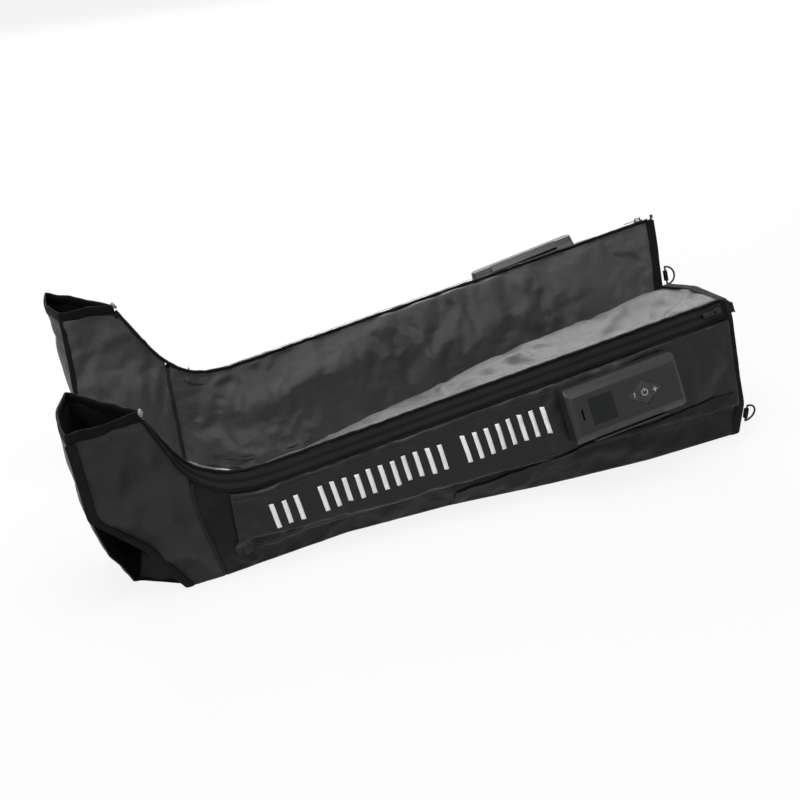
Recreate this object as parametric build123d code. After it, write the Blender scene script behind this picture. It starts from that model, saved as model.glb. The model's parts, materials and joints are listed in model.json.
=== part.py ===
from build123d import *
import os
from math import atan2, degrees, hypot, radians, sin, sqrt, tan

# A pair of zip-up air compression boots for the legs, laid side by side calf down, each with
# its own cordless air pump on the outer side.  Lengths are in millimetres, +Z is up and +X runs
# from the feet to the thighs.  Each boot is made in its own frame: x from heel to thigh, y from
# the outer side to the inner side, z up from the floor.  The right boot is then mirrored.

# ---- Lay of the pair ---------------------------------------------------------------------
SPLAY = 3.1                # each boot's axis turns in by this many degrees towards the thighs
BOOT_SPACING = 310.0       # between the two axes at the heels
RIGHT_STAGGER = 35.0       # the right boot lies this much further towards the thighs

# ---- Fabric ------------------------------------------------------------------------------
PANEL_THICK = 3.0          # outer cloth with its foam interlining
CHAMBER_THICK = 4.0        # one welded air chamber, empty
CHAMBER_GAP = 0.3          # between a chamber and the panel that it lies on
LINING_EDGE = 12.0         # a chamber stops this far short of a panel's end
LINING_RIM_EDGE = 36.0     # and this far short of the slanted thigh rim
BINDING_WIDTH = 12.0       # tape folded over a cut edge
BINDING_LIP = 1.0          # how far that tape stands proud inside the boot
CHANNEL_DEPTH = 5.4        # room for the hoses under the smooth side panel
CHANNEL_SKIN = 1.2         # that panel's cloth
CHANNEL_LIFT = 0.2         # between that panel's turned-in edge and the leg panel
CHANNEL_SEAM = 0.015       # width of the turned-in edge, as a share of the panel's height

# ---- Leg ---------------------------------------------------------------------------------
SEAM_X = 95.0              # the stitched joint between foot and leg
INSTEP_X = 130.0           # the zip's lowest bend in front of the ankle
STRAIGHT_X = 180.0         # the zip runs straight from here to the thigh
RIM_X = 890.0              # the thigh end of the panels
RIM_SLANT = 0.12           # the rim leans back towards the inner side by this slope
LOW_CALF_X, KNEE_X, LOW_THIGH_X, MID_THIGH_X = 300.0, 450.0, 600.0, 750.0

# ---- Foot --------------------------------------------------------------------------------
MOUTH_Z = 262.0            # the toe mouth's edge, under its binding
SOLE_THICK = 4.0
SOLE_HALF_WIDTH = 57.0
HEEL_BEND_Z = 140.0        # above this the sole stands nearly upright
HEEL_MID_Z = 78.0
HEEL_LOW_Z = 40.0
CHAMFER_END_X = 70.0       # where the outer side panel's cut heel corner meets the floor
CHAMFER_MID_X = 26.0
FLAP_THICK = 2.0
FLAP_HEIGHT = 40.0
FLAP_INSET = 14.0          # the flap stands this far in from the outer side panel

# ---- Zip ---------------------------------------------------------------------------------
SLIDER_LENGTH, SLIDER_WIDTH, SLIDER_THICK, SLIDER_CUT = 14.0, 9.0, 4.5, 2.2
TAPE_TURNS = 6             # straight lengths that turn the tape from the ankle to the toes
SLIDER_LIFT = 0.3          # running clearance over the tapes
SLIDER_FROM_RIM = 16.0     # centre of the closed slider to the rim
BRIDGE_LENGTH, BRIDGE_HEIGHT, BRIDGE_WIDTH, BRIDGE_BAR = 9.8, 4.6, 3.4, 1.4
PULL_LENGTH, PULL_WIDTH, PULL_THICK = 26.0, 7.0, 1.2
PULL_BAR = 1.8             # the pull's cross bar, which turns in the bridge
PULL_EYE_GAP = 0.4         # round that bar, and between the pull and the bridge

# ---- Rings -------------------------------------------------------------------------------
RING_WIRE = 1.5            # radius of the wire
RING_RADIUS = 14.0         # of the bow, to the middle of the wire, for 25 mm webbing
INNER_RING_SHARE = 0.22    # of the way down from the ridge
OUTER_RING_SHARE = 0.6     # of the way up from the floor
TAB_LENGTH, TAB_THICK = 16.0, 6.0
RING_PLAY = 0.3

# ---- Pump --------------------------------------------------------------------------------
PUMP_X = 699.0             # its middle along the leg
PUMP_SHARE = 0.55          # its middle between the panel's lower seam and the zip
PUMP_LENGTH, PUMP_WIDTH, PUMP_DEPTH = 170.0, 78.0, 34.0
PUMP_WALL = 2.0
PUMP_SPLIT = 13.0          # the joint between rear and front shell
PUMP_BEVEL = 12.0          # along the two long front edges
PUMP_END_BEVEL = 6.0
PUMP_CORNER = 5.0
DOCK_LENGTH, DOCK_WIDTH, DOCK_DEPTH = 130.0, 52.0, 10.5
DOCK_ROOT = 14.0           # how far the dock's block reaches back before it is fitted to the leg
DOCK_PLAY = 1.5            # round the dock in the side panel's window
DOCK_SOCKET = 7.0          # depth of the air sockets in the dock
WINDOW_LENGTH, WINDOW_HEIGHT, WINDOW_THICK = 36.0, 38.0, 1.4
WINDOW_X = -38.0
WINDOW_PLAY = 0.15
WINDOW_SINK = 0.3
WINDOW_CORNER = 1.0
DISPLAY_EDGE = 2.8         # the display module is this much smaller all round than its window
LAMP_SLOT_X, LAMP_SLOT_LENGTH, LAMP_SLOT_WIDTH = -68.0, 16.0, 3.0
KEYS_X = 27.0              # middle of the diamond of keys
KEYS_LENGTH, KEYS_HEIGHT = 56.0, 36.0
KEY_SPLIT = 9.5            # the cuts between the keys stand this far from the middle
KEY_PLAY = 0.4
KEY_SINK = 0.9             # key tops lie this far under the face
KEY_FLANGE, KEY_FLANGE_THICK = 1.6, 1.2
KEY_TRAVEL = 1.2
KEY_STEM = 2.5
KEY_STEM_IN = 7.0          # an outer key's stem stands this far from the key's inner edge
BOARD_END_GAP, BOARD_SIDE_GAP = 11.0, 9.0      # from the board to the shells' walls
BOARD_THICK, BOARD_Z = 1.6, 24.0
SWITCH_SIZE, SWITCH_HEIGHT, SWITCH_CLEAR = 6.0, 1.4, 0.3
PORT_LENGTH, PORT_WIDTH, PORT_HEIGHT = 10.0, 9.0, 3.2
CELL_RADIUS, CELL_LENGTH, CELL_X, CELL_Y = 9.2, 65.0, 40.0, 9.6
MOTOR_RADIUS, MOTOR_LENGTH, MOTOR_X, MOTOR_Y = 9.5, 30.0, -22.0, 14.0
HEAD_LENGTH, HEAD_WIDTH, HEAD_WALL = 28.0, 26.0, 3.0
SHAFT_RADIUS, SHAFT_PLAY = 1.5, 0.05
ECCENTRIC_RADIUS, ECCENTRIC_THICK, ECCENTRIC_THROW = 5.5, 8.0, 1.5
VALVE_LENGTH, VALVE_WIDTH, VALVE_HEIGHT, VALVE_Y = 46.0, 20.0, 13.0, -18.0
DUCT_ROOT = 1.0            # how far a duct or an outlet reaches into the block that carries it
PORT_PITCH, NIPPLE_RADIUS, NIPPLE_PLAY, NIPPLE_REACH = 13.0, 2.4, 0.3, 6.3
SCREW_END_INSET, SCREW_SIDE_INSET = 5.5, 6.0   # from a screw to the pump's end and side
SCREW_RADIUS, SCREW_LENGTH = 1.5, 16.0
SCREW_HEAD_RADIUS, SCREW_HEAD_HEIGHT, SCREW_PLAY = 2.9, 1.6, 0.05
BOSS_RADIUS = 3.8
STRAP_BAR_FROM, STRAP_BAR_MID, STRAP_BAR_TO = -54.0, 4.0, 56.0
STRAP_GAP, STRAP_THICK, STRAP_POST = 3.2, 2.6, 5.0
STRAP_LOW_Z, STRAP_HIGH_Z = 8.0, 20.0
HOSE_RADIUS, HOSE_LIFT, HOSE_HOLE_PLAY = 2.4, 0.4, 1.0
HOSE_BEND = 200.0          # a hose follows the leg's gentle bends with arcs of this radius
BEND_SHARE = 0.45          # of the shorter run beside a hose's bend that its arc may take
BEND_LEAST = 0.01          # a bend counts as at least this, the tangent of half its turn
PIECE_GAP = 0.3            # between loose pieces inside the pump

# The places along each leg where a section is given.  A section goes round the boot from the
# outer floor edge: belly, zip (three points), crown, ridge, inner side, inner floor edge.
FLOOR_OUT, BELLY, ZIP_LOW, ZIP_MID, ZIP_HIGH, CROWN, RIDGE, INNER, FLOOR_IN = range(9)

# How each boot lies.  zip_* give the inner edge of the zip band and its way across to the
# outer edge; the lists follow SEAM, INSTEP, STRAIGHT, LOW_CALF, KNEE, LOW_THIGH, MID_THIGH, RIM.
# A pump's thigh end is turned up towards the zip by pump_turn degrees, and its face leans up
# from the panel by pump_tilt degrees.
PLACES = [SEAM_X, INSTEP_X, STRAIGHT_X, LOW_CALF_X, KNEE_X, LOW_THIGH_X, MID_THIGH_X, RIM_X]
LEFT_LAY = {
    "zip_seam": (-49, 186), "zip_instep": (-49, 155), "zip_straight": (-48, 146),
    "zip_rim": (-58, 208), "zip_across": (-13, -22),
    "floor_out": [58, 56, 53, 45, 55, 77, 92, 94],
    "belly": [(66, 60), (66, 54), (66, 50), (68, 50), (80, 55), (98, 60), (108, 65), (102, 55)],
    "ridge": [(36, 140), (50, 104), (58, 80), (62, 86), (66, 110), (70, 142), (73, 162), (75, 180)],
    "floor_in": [54, 56, 58, 62, 70, 80, 86, 86],
    "crown_lift": 8, "inner_swell": 5,
    "sole_top": -36, "sole_bend": -30, "sole_mid": -18, "sole_low": -2, "sole_floor": 14,
    "apex": (57, -46), "pump_turn": 2.4, "pump_tilt": 4.0,
}
RIGHT_LAY = {
    "zip_seam": (30, 164), "zip_instep": (29, 132), "zip_straight": (27, 130),
    "zip_rim": (-15, 213), "zip_across": (-22, -12),
    "floor_out": [58, 56, 53, 50, 58, 74, 86, 88],
    "belly": [(66, 60), (66, 54), (66, 50), (68, 50), (78, 52), (90, 56), (98, 58), (96, 50)],
    "ridge": [(50, 110), (54, 84), (56, 78), (54, 88), (48, 104), (40, 122), (30, 138), (20, 146)],
    "floor_in": [54, 70, 94, 90, 76, 78, 82, 80],
    "crown_lift": 4, "inner_swell": 2,
    "sole_top": -46, "sole_bend": -40, "sole_mid": -28, "sole_low": -12, "sole_floor": 6,
    "apex": (42, 30), "pump_turn": 10.0, "pump_tilt": 0.0,
}


def lerp(start, end, share):
    return tuple(a + (b - a) * share for a, b in zip(start, end))


class Section:
    """One cut across the boot: nine points (y, z) round its outer surface at a place x."""

    def __init__(self, x, points, slant=0.0):
        self.x, self.points, self.slant = x, points, slant

    def layer(self, depth):
        """The same cut, this far under the outer surface."""
        normals = []
        count = len(self.points)
        for i in range(count):
            (y0, z0), (y1, z1) = self.points[i], self.points[(i + 1) % count]
            length = hypot(y1 - y0, z1 - z0)
            normals.append(((z1 - z0) / length, (y0 - y1) / length))
        moved = []
        for i, (y, z) in enumerate(self.points):
            (ay, az), (by, bz) = normals[i - 1], normals[i]
            stretch = depth / (1 + ay * by + az * bz)
            moved.append((y + (ay + by) * stretch, z + (az + bz) * stretch))
        return moved

    def spatial(self, point):
        """A point of the cut as x, y, z; a slanted cut leans back towards the inner side."""
        y, z = point
        return (self.x - self.slant * (y - self.points[ZIP_MID][0]), y, z)


class Boot:
    """Every section of one boot, with the surfaces between them ruled from section to section."""

    def __init__(self, lay):
        self.lay = lay
        self.sections = [self.section_at_place(i) for i in range(len(PLACES))]

    def zip_high(self, x):
        if x >= STRAIGHT_X:
            share = (x - STRAIGHT_X) / (RIM_X - STRAIGHT_X)
            return lerp(self.lay["zip_straight"], self.lay["zip_rim"], share)
        return self.lay["zip_instep"] if x > SEAM_X else self.lay["zip_seam"]

    def section_at_place(self, i):
        lay, x = self.lay, PLACES[i]
        high = self.zip_high(x)
        low = (high[0] + lay["zip_across"][0], high[1] + lay["zip_across"][1])
        belly = (-lay["belly"][i][0], lay["belly"][i][1])
        ridge, floor_in = lay["ridge"][i], lay["floor_in"][i]
        crown = lerp(high, ridge, 0.5)
        crown = (crown[0], crown[1] + lay["crown_lift"])
        inner = lerp(ridge, (floor_in, 0), 0.5)
        inner = (inner[0] + lay["inner_swell"], inner[1])
        points = [(-lay["floor_out"][i], 0), belly, low, lerp(low, high, 0.5), high, crown,
                  ridge, inner, (floor_in, 0)]
        return Section(x, points, RIM_SLANT if x == RIM_X else 0.0)

    def layers(self, depth, from_x=SEAM_X, to_x=RIM_X):
        """The cuts at one depth from one place to another, each a list of nine x, y, z."""
        cuts = [[s.spatial(p) for p in s.layer(depth)] for s in self.sections]
        places = sorted({from_x, to_x, *[x for x in PLACES if from_x < x < to_x]})
        return [self.between(cuts, x) for x in places]

    def between(self, cuts, x):
        """The cut at x on the straight lines between two given cuts."""
        if x in PLACES:
            return cuts[PLACES.index(x)]
        i = max(k for k in range(len(PLACES) - 1) if PLACES[k] < x)
        return [lerp(a, b, (x - a[0]) / (b[0] - a[0])) for a, b in zip(cuts[i], cuts[i + 1])]

    def on_wall(self, x, share, height=0.0):
        """A point over the outer panel, at a share of the way from its belly to the zip."""
        cut = self.layers(-height, x, RIM_X)[0]
        return lerp(cut[BELLY], cut[ZIP_LOW], share)


def ruled(loops):
    return Solid.make_loft([Wire.make_polygon(loop, close=True) for loop in loops], ruled=True)


def sheet(boot, names, top, bottom, from_x=SEAM_X, to_x=RIM_X):
    """A sheet of the boot's wall between two depths, along some of each section's points."""
    outer, inner = boot.layers(top, from_x, to_x), boot.layers(bottom, from_x, to_x)
    return ruled([[a[k] for k in names] + [b[k] for k in reversed(names)]
                  for a, b in zip(outer, inner)])


# ---- Leg panels --------------------------------------------------------------------------
def outer_leg_panel(boot):
    return sheet(boot, [FLOOR_OUT, BELLY, ZIP_LOW], 0, PANEL_THICK)


def inner_leg_panel(boot):
    return sheet(boot, [ZIP_HIGH, CROWN, RIDGE, INNER, FLOOR_IN], 0, PANEL_THICK)


def calf_panel(boot):
    """The panel that the boot lies on, flat, so it is one outline below and one above."""
    return ruled([[cut[FLOOR_IN] for cut in cuts] + [cut[FLOOR_OUT] for cut in reversed(cuts)]
                  for cuts in (boot.layers(0), boot.layers(PANEL_THICK))])


def envelope(boot):
    """The whole leg as one filled body, to fit things onto its outer surface."""
    return ruled(boot.layers(0))


def thigh_binding(boot):
    """Tape folded over the thigh rim."""
    rim = boot.sections[-1]
    outer = Wire.make_polygon([rim.spatial(p) for p in rim.layer(0)], close=True)
    inner = Wire.make_polygon([rim.spatial(p) for p in rim.layer(PANEL_THICK + BINDING_LIP)],
                              close=True)
    return Solid.extrude(Face(outer, [inner]), Vector(BINDING_WIDTH, 0, 0))


# ---- Foot panels -------------------------------------------------------------------------
def sole_x(boot, z):
    """The rear face of the sole at a height."""
    lay = boot.lay
    rows = [(0, lay["sole_floor"]), (HEEL_LOW_Z, lay["sole_low"]), (HEEL_MID_Z, lay["sole_mid"]),
            (HEEL_BEND_Z, lay["sole_bend"]), (MOUTH_Z, lay["sole_top"])]
    return along(rows, z)


def along(rows, at):
    """Straight-line reading of a value between the rows (place, value)."""
    for (a, start), (b, end) in zip(rows, rows[1:]):
        if a <= at <= b:
            return start + (end - start) * (at - a) / (b - a)
    return rows[-1][1]


def foot_side(boot, levels, front, back_rows, inward):
    """A side panel of the foot: at each level a strip from the sole back to the leg seam."""
    top_y = boot.lay["apex"][1]
    loops = []
    for z in levels:
        if z <= back_rows[-1][0]:
            back = (SEAM_X, along(back_rows, z))
        else:
            share = (z - back_rows[-1][0]) / (MOUTH_Z - back_rows[-1][0])
            back = lerp((SEAM_X, back_rows[-1][1]), (boot.lay["apex"][0], top_y), share)
        x, y = front(z)
        loops.append([(x, y, z), (*back, z), (back[0], back[1] + inward, z), (x, y + inward, z)])
    return ruled(loops)


def outer_foot_panel(boot):
    cut = boot.sections[0].points
    rows = [(cut[k][1], cut[k][0]) for k in (FLOOR_OUT, BELLY, ZIP_LOW)]

    def front(z):
        x = along([(0, CHAMFER_END_X), (HEEL_MID_Z, CHAMFER_MID_X),
                   (HEEL_BEND_Z, sole_x(boot, HEEL_BEND_Z)), (MOUTH_Z, sole_x(boot, MOUTH_Z))], z)
        return x, -SOLE_HALF_WIDTH

    levels = sorted({0, HEEL_MID_Z, HEEL_BEND_Z, MOUTH_Z, *[r[0] for r in rows]})
    return foot_side(boot, levels, front, rows, PANEL_THICK)


def inner_foot_panel(boot):
    cut = boot.sections[0].points
    rows = [(cut[k][1], cut[k][0]) for k in (FLOOR_IN, INNER, RIDGE, CROWN, ZIP_HIGH)]
    levels = sorted({0, HEEL_LOW_Z, HEEL_MID_Z, HEEL_BEND_Z, MOUTH_Z, *[r[0] for r in rows]})
    return foot_side(boot, levels, lambda z: (sole_x(boot, z), SOLE_HALF_WIDTH), rows,
                     -PANEL_THICK)


def sole_panel(boot):
    loops = []
    for z in (0, HEEL_LOW_Z, HEEL_MID_Z, HEEL_BEND_Z, MOUTH_Z):
        x = sole_x(boot, z)
        loops.append([(x, -SOLE_HALF_WIDTH, z), (x, SOLE_HALF_WIDTH, z),
                      (x - SOLE_THICK, SOLE_HALF_WIDTH, z), (x - SOLE_THICK, -SOLE_HALF_WIDTH, z)])
    return ruled(loops)


def heel_flap(boot):
    """A loose corner of cloth inside the open heel, on a foot of its own along the floor."""
    y = -SOLE_HALF_WIDTH + FLAP_INSET
    upright = Solid.extrude(Face(Wire.make_polygon(
        [(CHAMFER_MID_X, y, 0), (CHAMFER_MID_X, y, FLAP_HEIGHT), (CHAMFER_END_X, y, PANEL_THICK),
         (SEAM_X, y, PANEL_THICK), (SEAM_X, y, 0)], close=True)), Vector(0, FLAP_THICK, 0))
    base = Pos((CHAMFER_MID_X + SEAM_X) / 2, y + FLAP_THICK + SOLE_HALF_WIDTH / 2, FLAP_THICK / 2) \
        * Box(SEAM_X - CHAMFER_MID_X, SOLE_HALF_WIDTH, FLAP_THICK)
    return upright + base


def toe_binding(boot):
    """Tape folded over the toe mouth: a ring with three corners, at the apex, and at the sole."""
    x, (apex_x, apex_y) = sole_x(boot, MOUTH_Z), boot.lay["apex"]
    corners = [(x - SOLE_THICK, -SOLE_HALF_WIDTH), (apex_x, apex_y - BINDING_LIP),
               (apex_x, apex_y + BINDING_LIP), (x - SOLE_THICK, SOLE_HALF_WIDTH)]
    outline = Wire.make_polygon([(px, py, MOUTH_Z) for px, py in corners], close=True)
    inset = outline.offset_2d(-(SOLE_THICK + BINDING_LIP), kind=Kind.INTERSECTION)
    inset = inset if isinstance(inset, Wire) else inset.wires()[0]
    return Solid.extrude(Face(outline, [inset]), Vector(0, 0, BINDING_WIDTH))


# ---- Zip ---------------------------------------------------------------------------------
def zipper_tapes(boot):
    """Two tapes side by side, each a straight run, a bend at the ankle and a length to the toes."""
    lay = boot.lay
    tapes = []
    apex_x, apex_y = lay["apex"]
    across = lay["zip_across"]
    span = hypot(*across)
    start, start_in = boot.sections[0].layer(0), boot.sections[0].layer(PANEL_THICK)
    for names, side in (([ZIP_LOW, ZIP_MID], -1), ([ZIP_MID, ZIP_HIGH], 1)):
        run = sheet(boot, names, 0, PANEL_THICK, STRAIGHT_X, RIM_X)
        ankle = sheet(boot, names, 0, PANEL_THICK, SEAM_X, STRAIGHT_X)
        low = [(SEAM_X, *start[k]) for k in names] + [(SEAM_X, *start_in[k]) for k in reversed(names)]
        near, far = (span / 2 * side, 0) if side < 0 else (0, span / 2 * side)
        top = [(apex_x + PANEL_THICK, apex_y + near / 2, MOUTH_Z),
               (apex_x + PANEL_THICK, apex_y + far / 2, MOUTH_Z),
               (apex_x, apex_y + far / 2, MOUTH_Z), (apex_x, apex_y + near / 2, MOUTH_Z)]
        instep = ruled([[lerp(a, b, turn / TAPE_TURNS) for a, b in zip(low, top)]
                        for turn in range(TAPE_TURNS + 1)])
        tapes += [run, ankle, instep]
    return tapes


def zip_frame(boot, x):
    """A plane on the straight zip: x along it towards the thigh, z straight out of it."""
    a, b = boot.zip_high(x), boot.zip_high(x + 1)
    across = boot.lay["zip_across"]
    middle = (x, a[0] + across[0] / 2, a[1] + across[1] / 2)
    run = Vector(1, b[0] - a[0], b[1] - a[1])
    return Plane(origin=middle, x_dir=run, z_dir=run.cross(Vector(0, -across[0], -across[1])))


def pull_axis():
    """The middle of the pull's cross bar, in the slider's frame: x and z."""
    x = BRIDGE_LENGTH / 2 - BRIDGE_BAR - PULL_EYE_GAP - hypot(PULL_BAR, PULL_THICK) / 2
    return x, SLIDER_LIFT + SLIDER_THICK + (BRIDGE_HEIGHT - BRIDGE_BAR) / 2


def slider_pieces():
    """The slider's body with its bridge, and the pull tab lying back along the zip."""
    top = SLIDER_LIFT + SLIDER_THICK
    body = slab(SLIDER_LENGTH, SLIDER_WIDTH, SLIDER_LIFT, top)
    body = chamfer(body.edges().filter_by(Axis.Z), SLIDER_CUT)
    bridge = slab(BRIDGE_LENGTH, BRIDGE_WIDTH, top, top + BRIDGE_HEIGHT)
    eye = slab(BRIDGE_LENGTH - 2 * BRIDGE_BAR, 2 * BRIDGE_WIDTH, top, top + BRIDGE_HEIGHT - BRIDGE_BAR)
    axis_x, axis_z = pull_axis()
    low, high = axis_z - PULL_THICK / 2, axis_z + PULL_THICK / 2
    front = axis_x + PULL_BAR / 2
    pull = slab(PULL_LENGTH, PULL_WIDTH, low, high, front - PULL_LENGTH / 2)
    swing = hypot(axis_x + BRIDGE_LENGTH / 2, top + BRIDGE_HEIGHT - axis_z) + PULL_EYE_GAP
    hole_from, hole_to = axis_x - swing, axis_x - PULL_BAR / 2
    pull -= slab(hole_to - hole_from, BRIDGE_WIDTH + 2 * PULL_EYE_GAP, low, high,
                 (hole_from + hole_to) / 2)
    return body + bridge - eye, pull


# ---- Rings -------------------------------------------------------------------------------
def ring_place(boot, inner_side):
    """The middle of a ring's straight bar, just past the binding, and the height of its tab."""
    rim = boot.sections[-1]
    if inner_side:
        y, z = lerp(rim.points[RIDGE], rim.points[INNER], INNER_RING_SHARE)
    else:
        y, z = lerp(rim.points[FLOOR_OUT], rim.points[BELLY], OUTER_RING_SHARE)
    x = rim.spatial((y, z))[0] + BINDING_WIDTH + RING_WIRE + RING_PLAY + TAB_THICK / 4
    return x, y, z


def ring_direction(boot, inner_side):
    """The rim's own direction where the ring hangs, in degrees from upright."""
    rim = boot.sections[-1]
    a, b = (INNER, RIDGE) if inner_side else (FLOOR_OUT, BELLY)
    (y0, z0), (y1, z1) = rim.points[a], rim.points[b]
    return degrees(atan2(y1 - y0, z1 - z0))


def ring_frame(boot, inner_side):
    x, y, z = ring_place(boot, inner_side)
    inward = TAB_THICK / 2 * (-1 if inner_side else 1)
    return Pos(x, y + inward, z) * Rot(-ring_direction(boot, inner_side), 0, 0)


def ring_piece():
    bow = Rot(90, 0, 0) * Torus(RING_RADIUS, RING_WIRE)
    bow = bow & Pos(RING_RADIUS, 0, 0) * Box(2 * RING_RADIUS, 8 * RING_WIRE, 4 * RING_RADIUS)
    bar = Cylinder(RING_WIRE, 2 * RING_RADIUS) + Pos(0, 0, RING_RADIUS) * Sphere(RING_WIRE) \
        + Pos(0, 0, -RING_RADIUS) * Sphere(RING_WIRE)
    return bow + bar


def ring_tab():
    """Webbing folded round the ring's bar and sewn to the binding's end face."""
    reach = BINDING_WIDTH + RING_WIRE + RING_PLAY + TAB_THICK / 4
    loop = Cylinder(TAB_THICK / 2, TAB_LENGTH)
    tail_length = reach - BINDING_WIDTH
    tail = Pos(-tail_length / 2, 0, 0) * Box(tail_length, TAB_THICK, TAB_LENGTH)
    return loop + tail - Cylinder(RING_WIRE + RING_PLAY, TAB_LENGTH)


# ---- Air chambers and hoses --------------------------------------------------------------
CHAMBER_ENDS = [SEAM_X + LINING_EDGE, 245.0, 425.0, 605.0, RIM_X - LINING_RIM_EDGE]
CHAMBER_SEAM = 10.0        # flat weld between two chambers
HOSE_SHARES = [0.42, 0.55, 0.68]
HOSE_STOP = 60.0           # a hose ends this far before its chamber's thigh end


def air_chambers(boot):
    """Four chambers round the outer side, calf and inner side, and one behind the sole."""
    top, bottom = PANEL_THICK + CHAMBER_GAP, PANEL_THICK + CHAMBER_GAP + CHAMBER_THICK
    names = [ZIP_LOW, BELLY, FLOOR_OUT, FLOOR_IN, INNER, RIDGE]
    pieces = []
    for start, end in zip(CHAMBER_ENDS, CHAMBER_ENDS[1:]):
        pieces.append(sheet(boot, names, top, bottom, start, end - CHAMBER_SEAM))
    loops = []
    for z in (HEEL_BEND_Z + LINING_EDGE, MOUTH_Z - LINING_EDGE):
        x, y = sole_x(boot, z) + CHAMBER_GAP, SOLE_HALF_WIDTH - LINING_EDGE
        loops.append([(x, -y, z), (x, y, z), (x + CHAMBER_THICK, y, z), (x + CHAMBER_THICK, -y, z)])
    return pieces + [ruled(loops)]


def tube(points, radius):
    """A round hose along straight runs, joined by tangent arcs as large as the runs allow."""
    route = [Vector(*p) for p in points]
    bends = []
    for a, b, c in zip(route, route[1:], route[2:]):
        before, after = b - a, c - b
        half_turn = radians(before.get_angle(after)) / 2
        room = min(before.length, after.length) * BEND_SHARE
        bends.append(min(room / max(tan(half_turn), BEND_LEAST), HOSE_BEND))
    path = FilletPolyline(*route, radius=bends)
    return sweep(Plane(origin=route[0], z_dir=route[1] - route[0]) * Circle(radius), path=path)


def hose_stubs(boot):
    """Where each hose turns in through the outer panel: start and end of that short stretch."""
    stubs = []
    for share, end in zip(HOSE_SHARES, CHAMBER_ENDS[1:4]):
        x = end - HOSE_STOP
        stubs.append((boot.on_wall(x, share, HOSE_LIFT + HOSE_RADIUS),
                      boot.on_wall(x, share, -PANEL_THICK - CHAMBER_GAP - CHAMBER_THICK / 2)))
    return stubs


def air_hoses(boot):
    """One hose to each of the three lower leg chambers, from the foot end of the dock."""
    turned_end = DOCK_WIDTH / 2 * sin(radians(boot.lay["pump_turn"]))
    start_x = PUMP_X - DOCK_LENGTH / 2 - turned_end - HOSE_RADIUS
    hoses = []
    for share, (bend, tip) in zip(HOSE_SHARES, hose_stubs(boot)):
        places = [start_x, *[x for x in reversed(PLACES) if bend[0] < x < start_x]]
        points = [boot.on_wall(x, share, HOSE_LIFT + HOSE_RADIUS) for x in places]
        hoses.append(tube([*points, bend, tip], HOSE_RADIUS))
    return hoses


def stub_holes(boot):
    holes = []
    for bend, tip in hose_stubs(boot):
        a, b = Vector(*bend), Vector(*tip)
        past = a + (b - a) * 2
        holes.append(Solid.make_cylinder(HOSE_RADIUS + HOSE_HOLE_PLAY, (past - a).length,
                                         Plane(origin=a, z_dir=b - a)))
    return holes


def hose_panel(boot):
    """The smooth side panel: a shallow channel of cloth with its two edges turned in."""
    from_x, to_x = INSTEP_X + LINING_EDGE, RIM_X
    low = boot.layers(-CHANNEL_LIFT, from_x, to_x)
    under = boot.layers(-CHANNEL_DEPTH, from_x, to_x)
    over = boot.layers(-CHANNEL_DEPTH - CHANNEL_SKIN, from_x, to_x)
    loops = []
    for a, b, c in zip(low, under, over):
        def at(cut, share):
            return lerp(cut[BELLY], cut[ZIP_LOW], share)
        edge = CHANNEL_SEAM
        loops.append([at(a, edge), at(c, edge), at(c, 1 - edge), at(a, 1 - edge),
                      at(a, 1 - 2 * edge), at(b, 1 - 2 * edge), at(b, 2 * edge), at(a, 2 * edge)])
    return ruled(loops)


# ---- Pump, in its own frame: x towards the thigh, y towards the zip, z out, 0 at its back --
def pump_plane(boot):
    """The pump's seat over the outer panel: along the zip, then turned and tilted on its dock."""
    here = Vector(*boot.on_wall(PUMP_X, PUMP_SHARE))
    half = PUMP_LENGTH / 2
    run = Vector(*boot.on_wall(PUMP_X + half, PUMP_SHARE)) \
        - Vector(*boot.on_wall(PUMP_X - half, PUMP_SHARE))
    cut = boot.layers(0, PUMP_X, RIM_X)[0]
    rise = Vector(*cut[ZIP_LOW]) - Vector(*cut[BELLY])
    out = run.cross(rise).normalized()
    face = out.rotate(Axis((0, 0, 0), run), -boot.lay["pump_tilt"])
    turned = run.rotate(Axis((0, 0, 0), face), boot.lay["pump_turn"])
    return Plane(origin=here + out * DOCK_DEPTH, x_dir=turned, z_dir=face)


def housing(inset):
    """The pump's outer body, or its hollow when inset by the wall."""
    bevel_loss = inset * (2 - sqrt(2))
    w, d, b = PUMP_WIDTH / 2 - inset, PUMP_DEPTH - inset, PUMP_BEVEL - bevel_loss
    across = Polyline((-w, inset), (w, inset), (w, d - b), (w - b, d), (b - w, d), (-w, d - b),
                      close=True)
    length, e = PUMP_LENGTH / 2 - inset, PUMP_END_BEVEL - bevel_loss
    lengthwise = Polyline((-length, inset), (length, inset), (length, d - e), (length - e, d),
                          (e - length, d), (-length, d - e), close=True)
    across_body = extrude(Plane.YZ * make_face(across), PUMP_LENGTH / 2, both=True)
    body = across_body & extrude(Plane.XZ * make_face(lengthwise), PUMP_WIDTH / 2, both=True)
    corners = body.edges().filter_by(Axis.Z)
    return fillet(corners, PUMP_CORNER - inset)


def slab(length, width, low, high, x=0.0, y=0.0):
    return Pos(x, y, (low + high) / 2) * Box(length, width, high - low)


def rod(radius, low, high, x=0.0, y=0.0):
    return Pos(x, y, (low + high) / 2) * Cylinder(radius, high - low)


def diamond(grow):
    """The keys' outline, grown all round."""
    slope = hypot(KEYS_LENGTH, KEYS_HEIGHT)
    a = KEYS_LENGTH / 2 + grow * slope / KEYS_HEIGHT
    b = KEYS_HEIGHT / 2 + grow * slope / KEYS_LENGTH
    return make_face(Polyline((-a, 0), (0, b), (a, 0), (0, -b), close=True))


def screw_places():
    x, y = PUMP_LENGTH / 2 - SCREW_END_INSET, PUMP_WIDTH / 2 - SCREW_SIDE_INSET
    return [(-x, -y), (-x, y), (x, -y), (x, y)]


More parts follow.
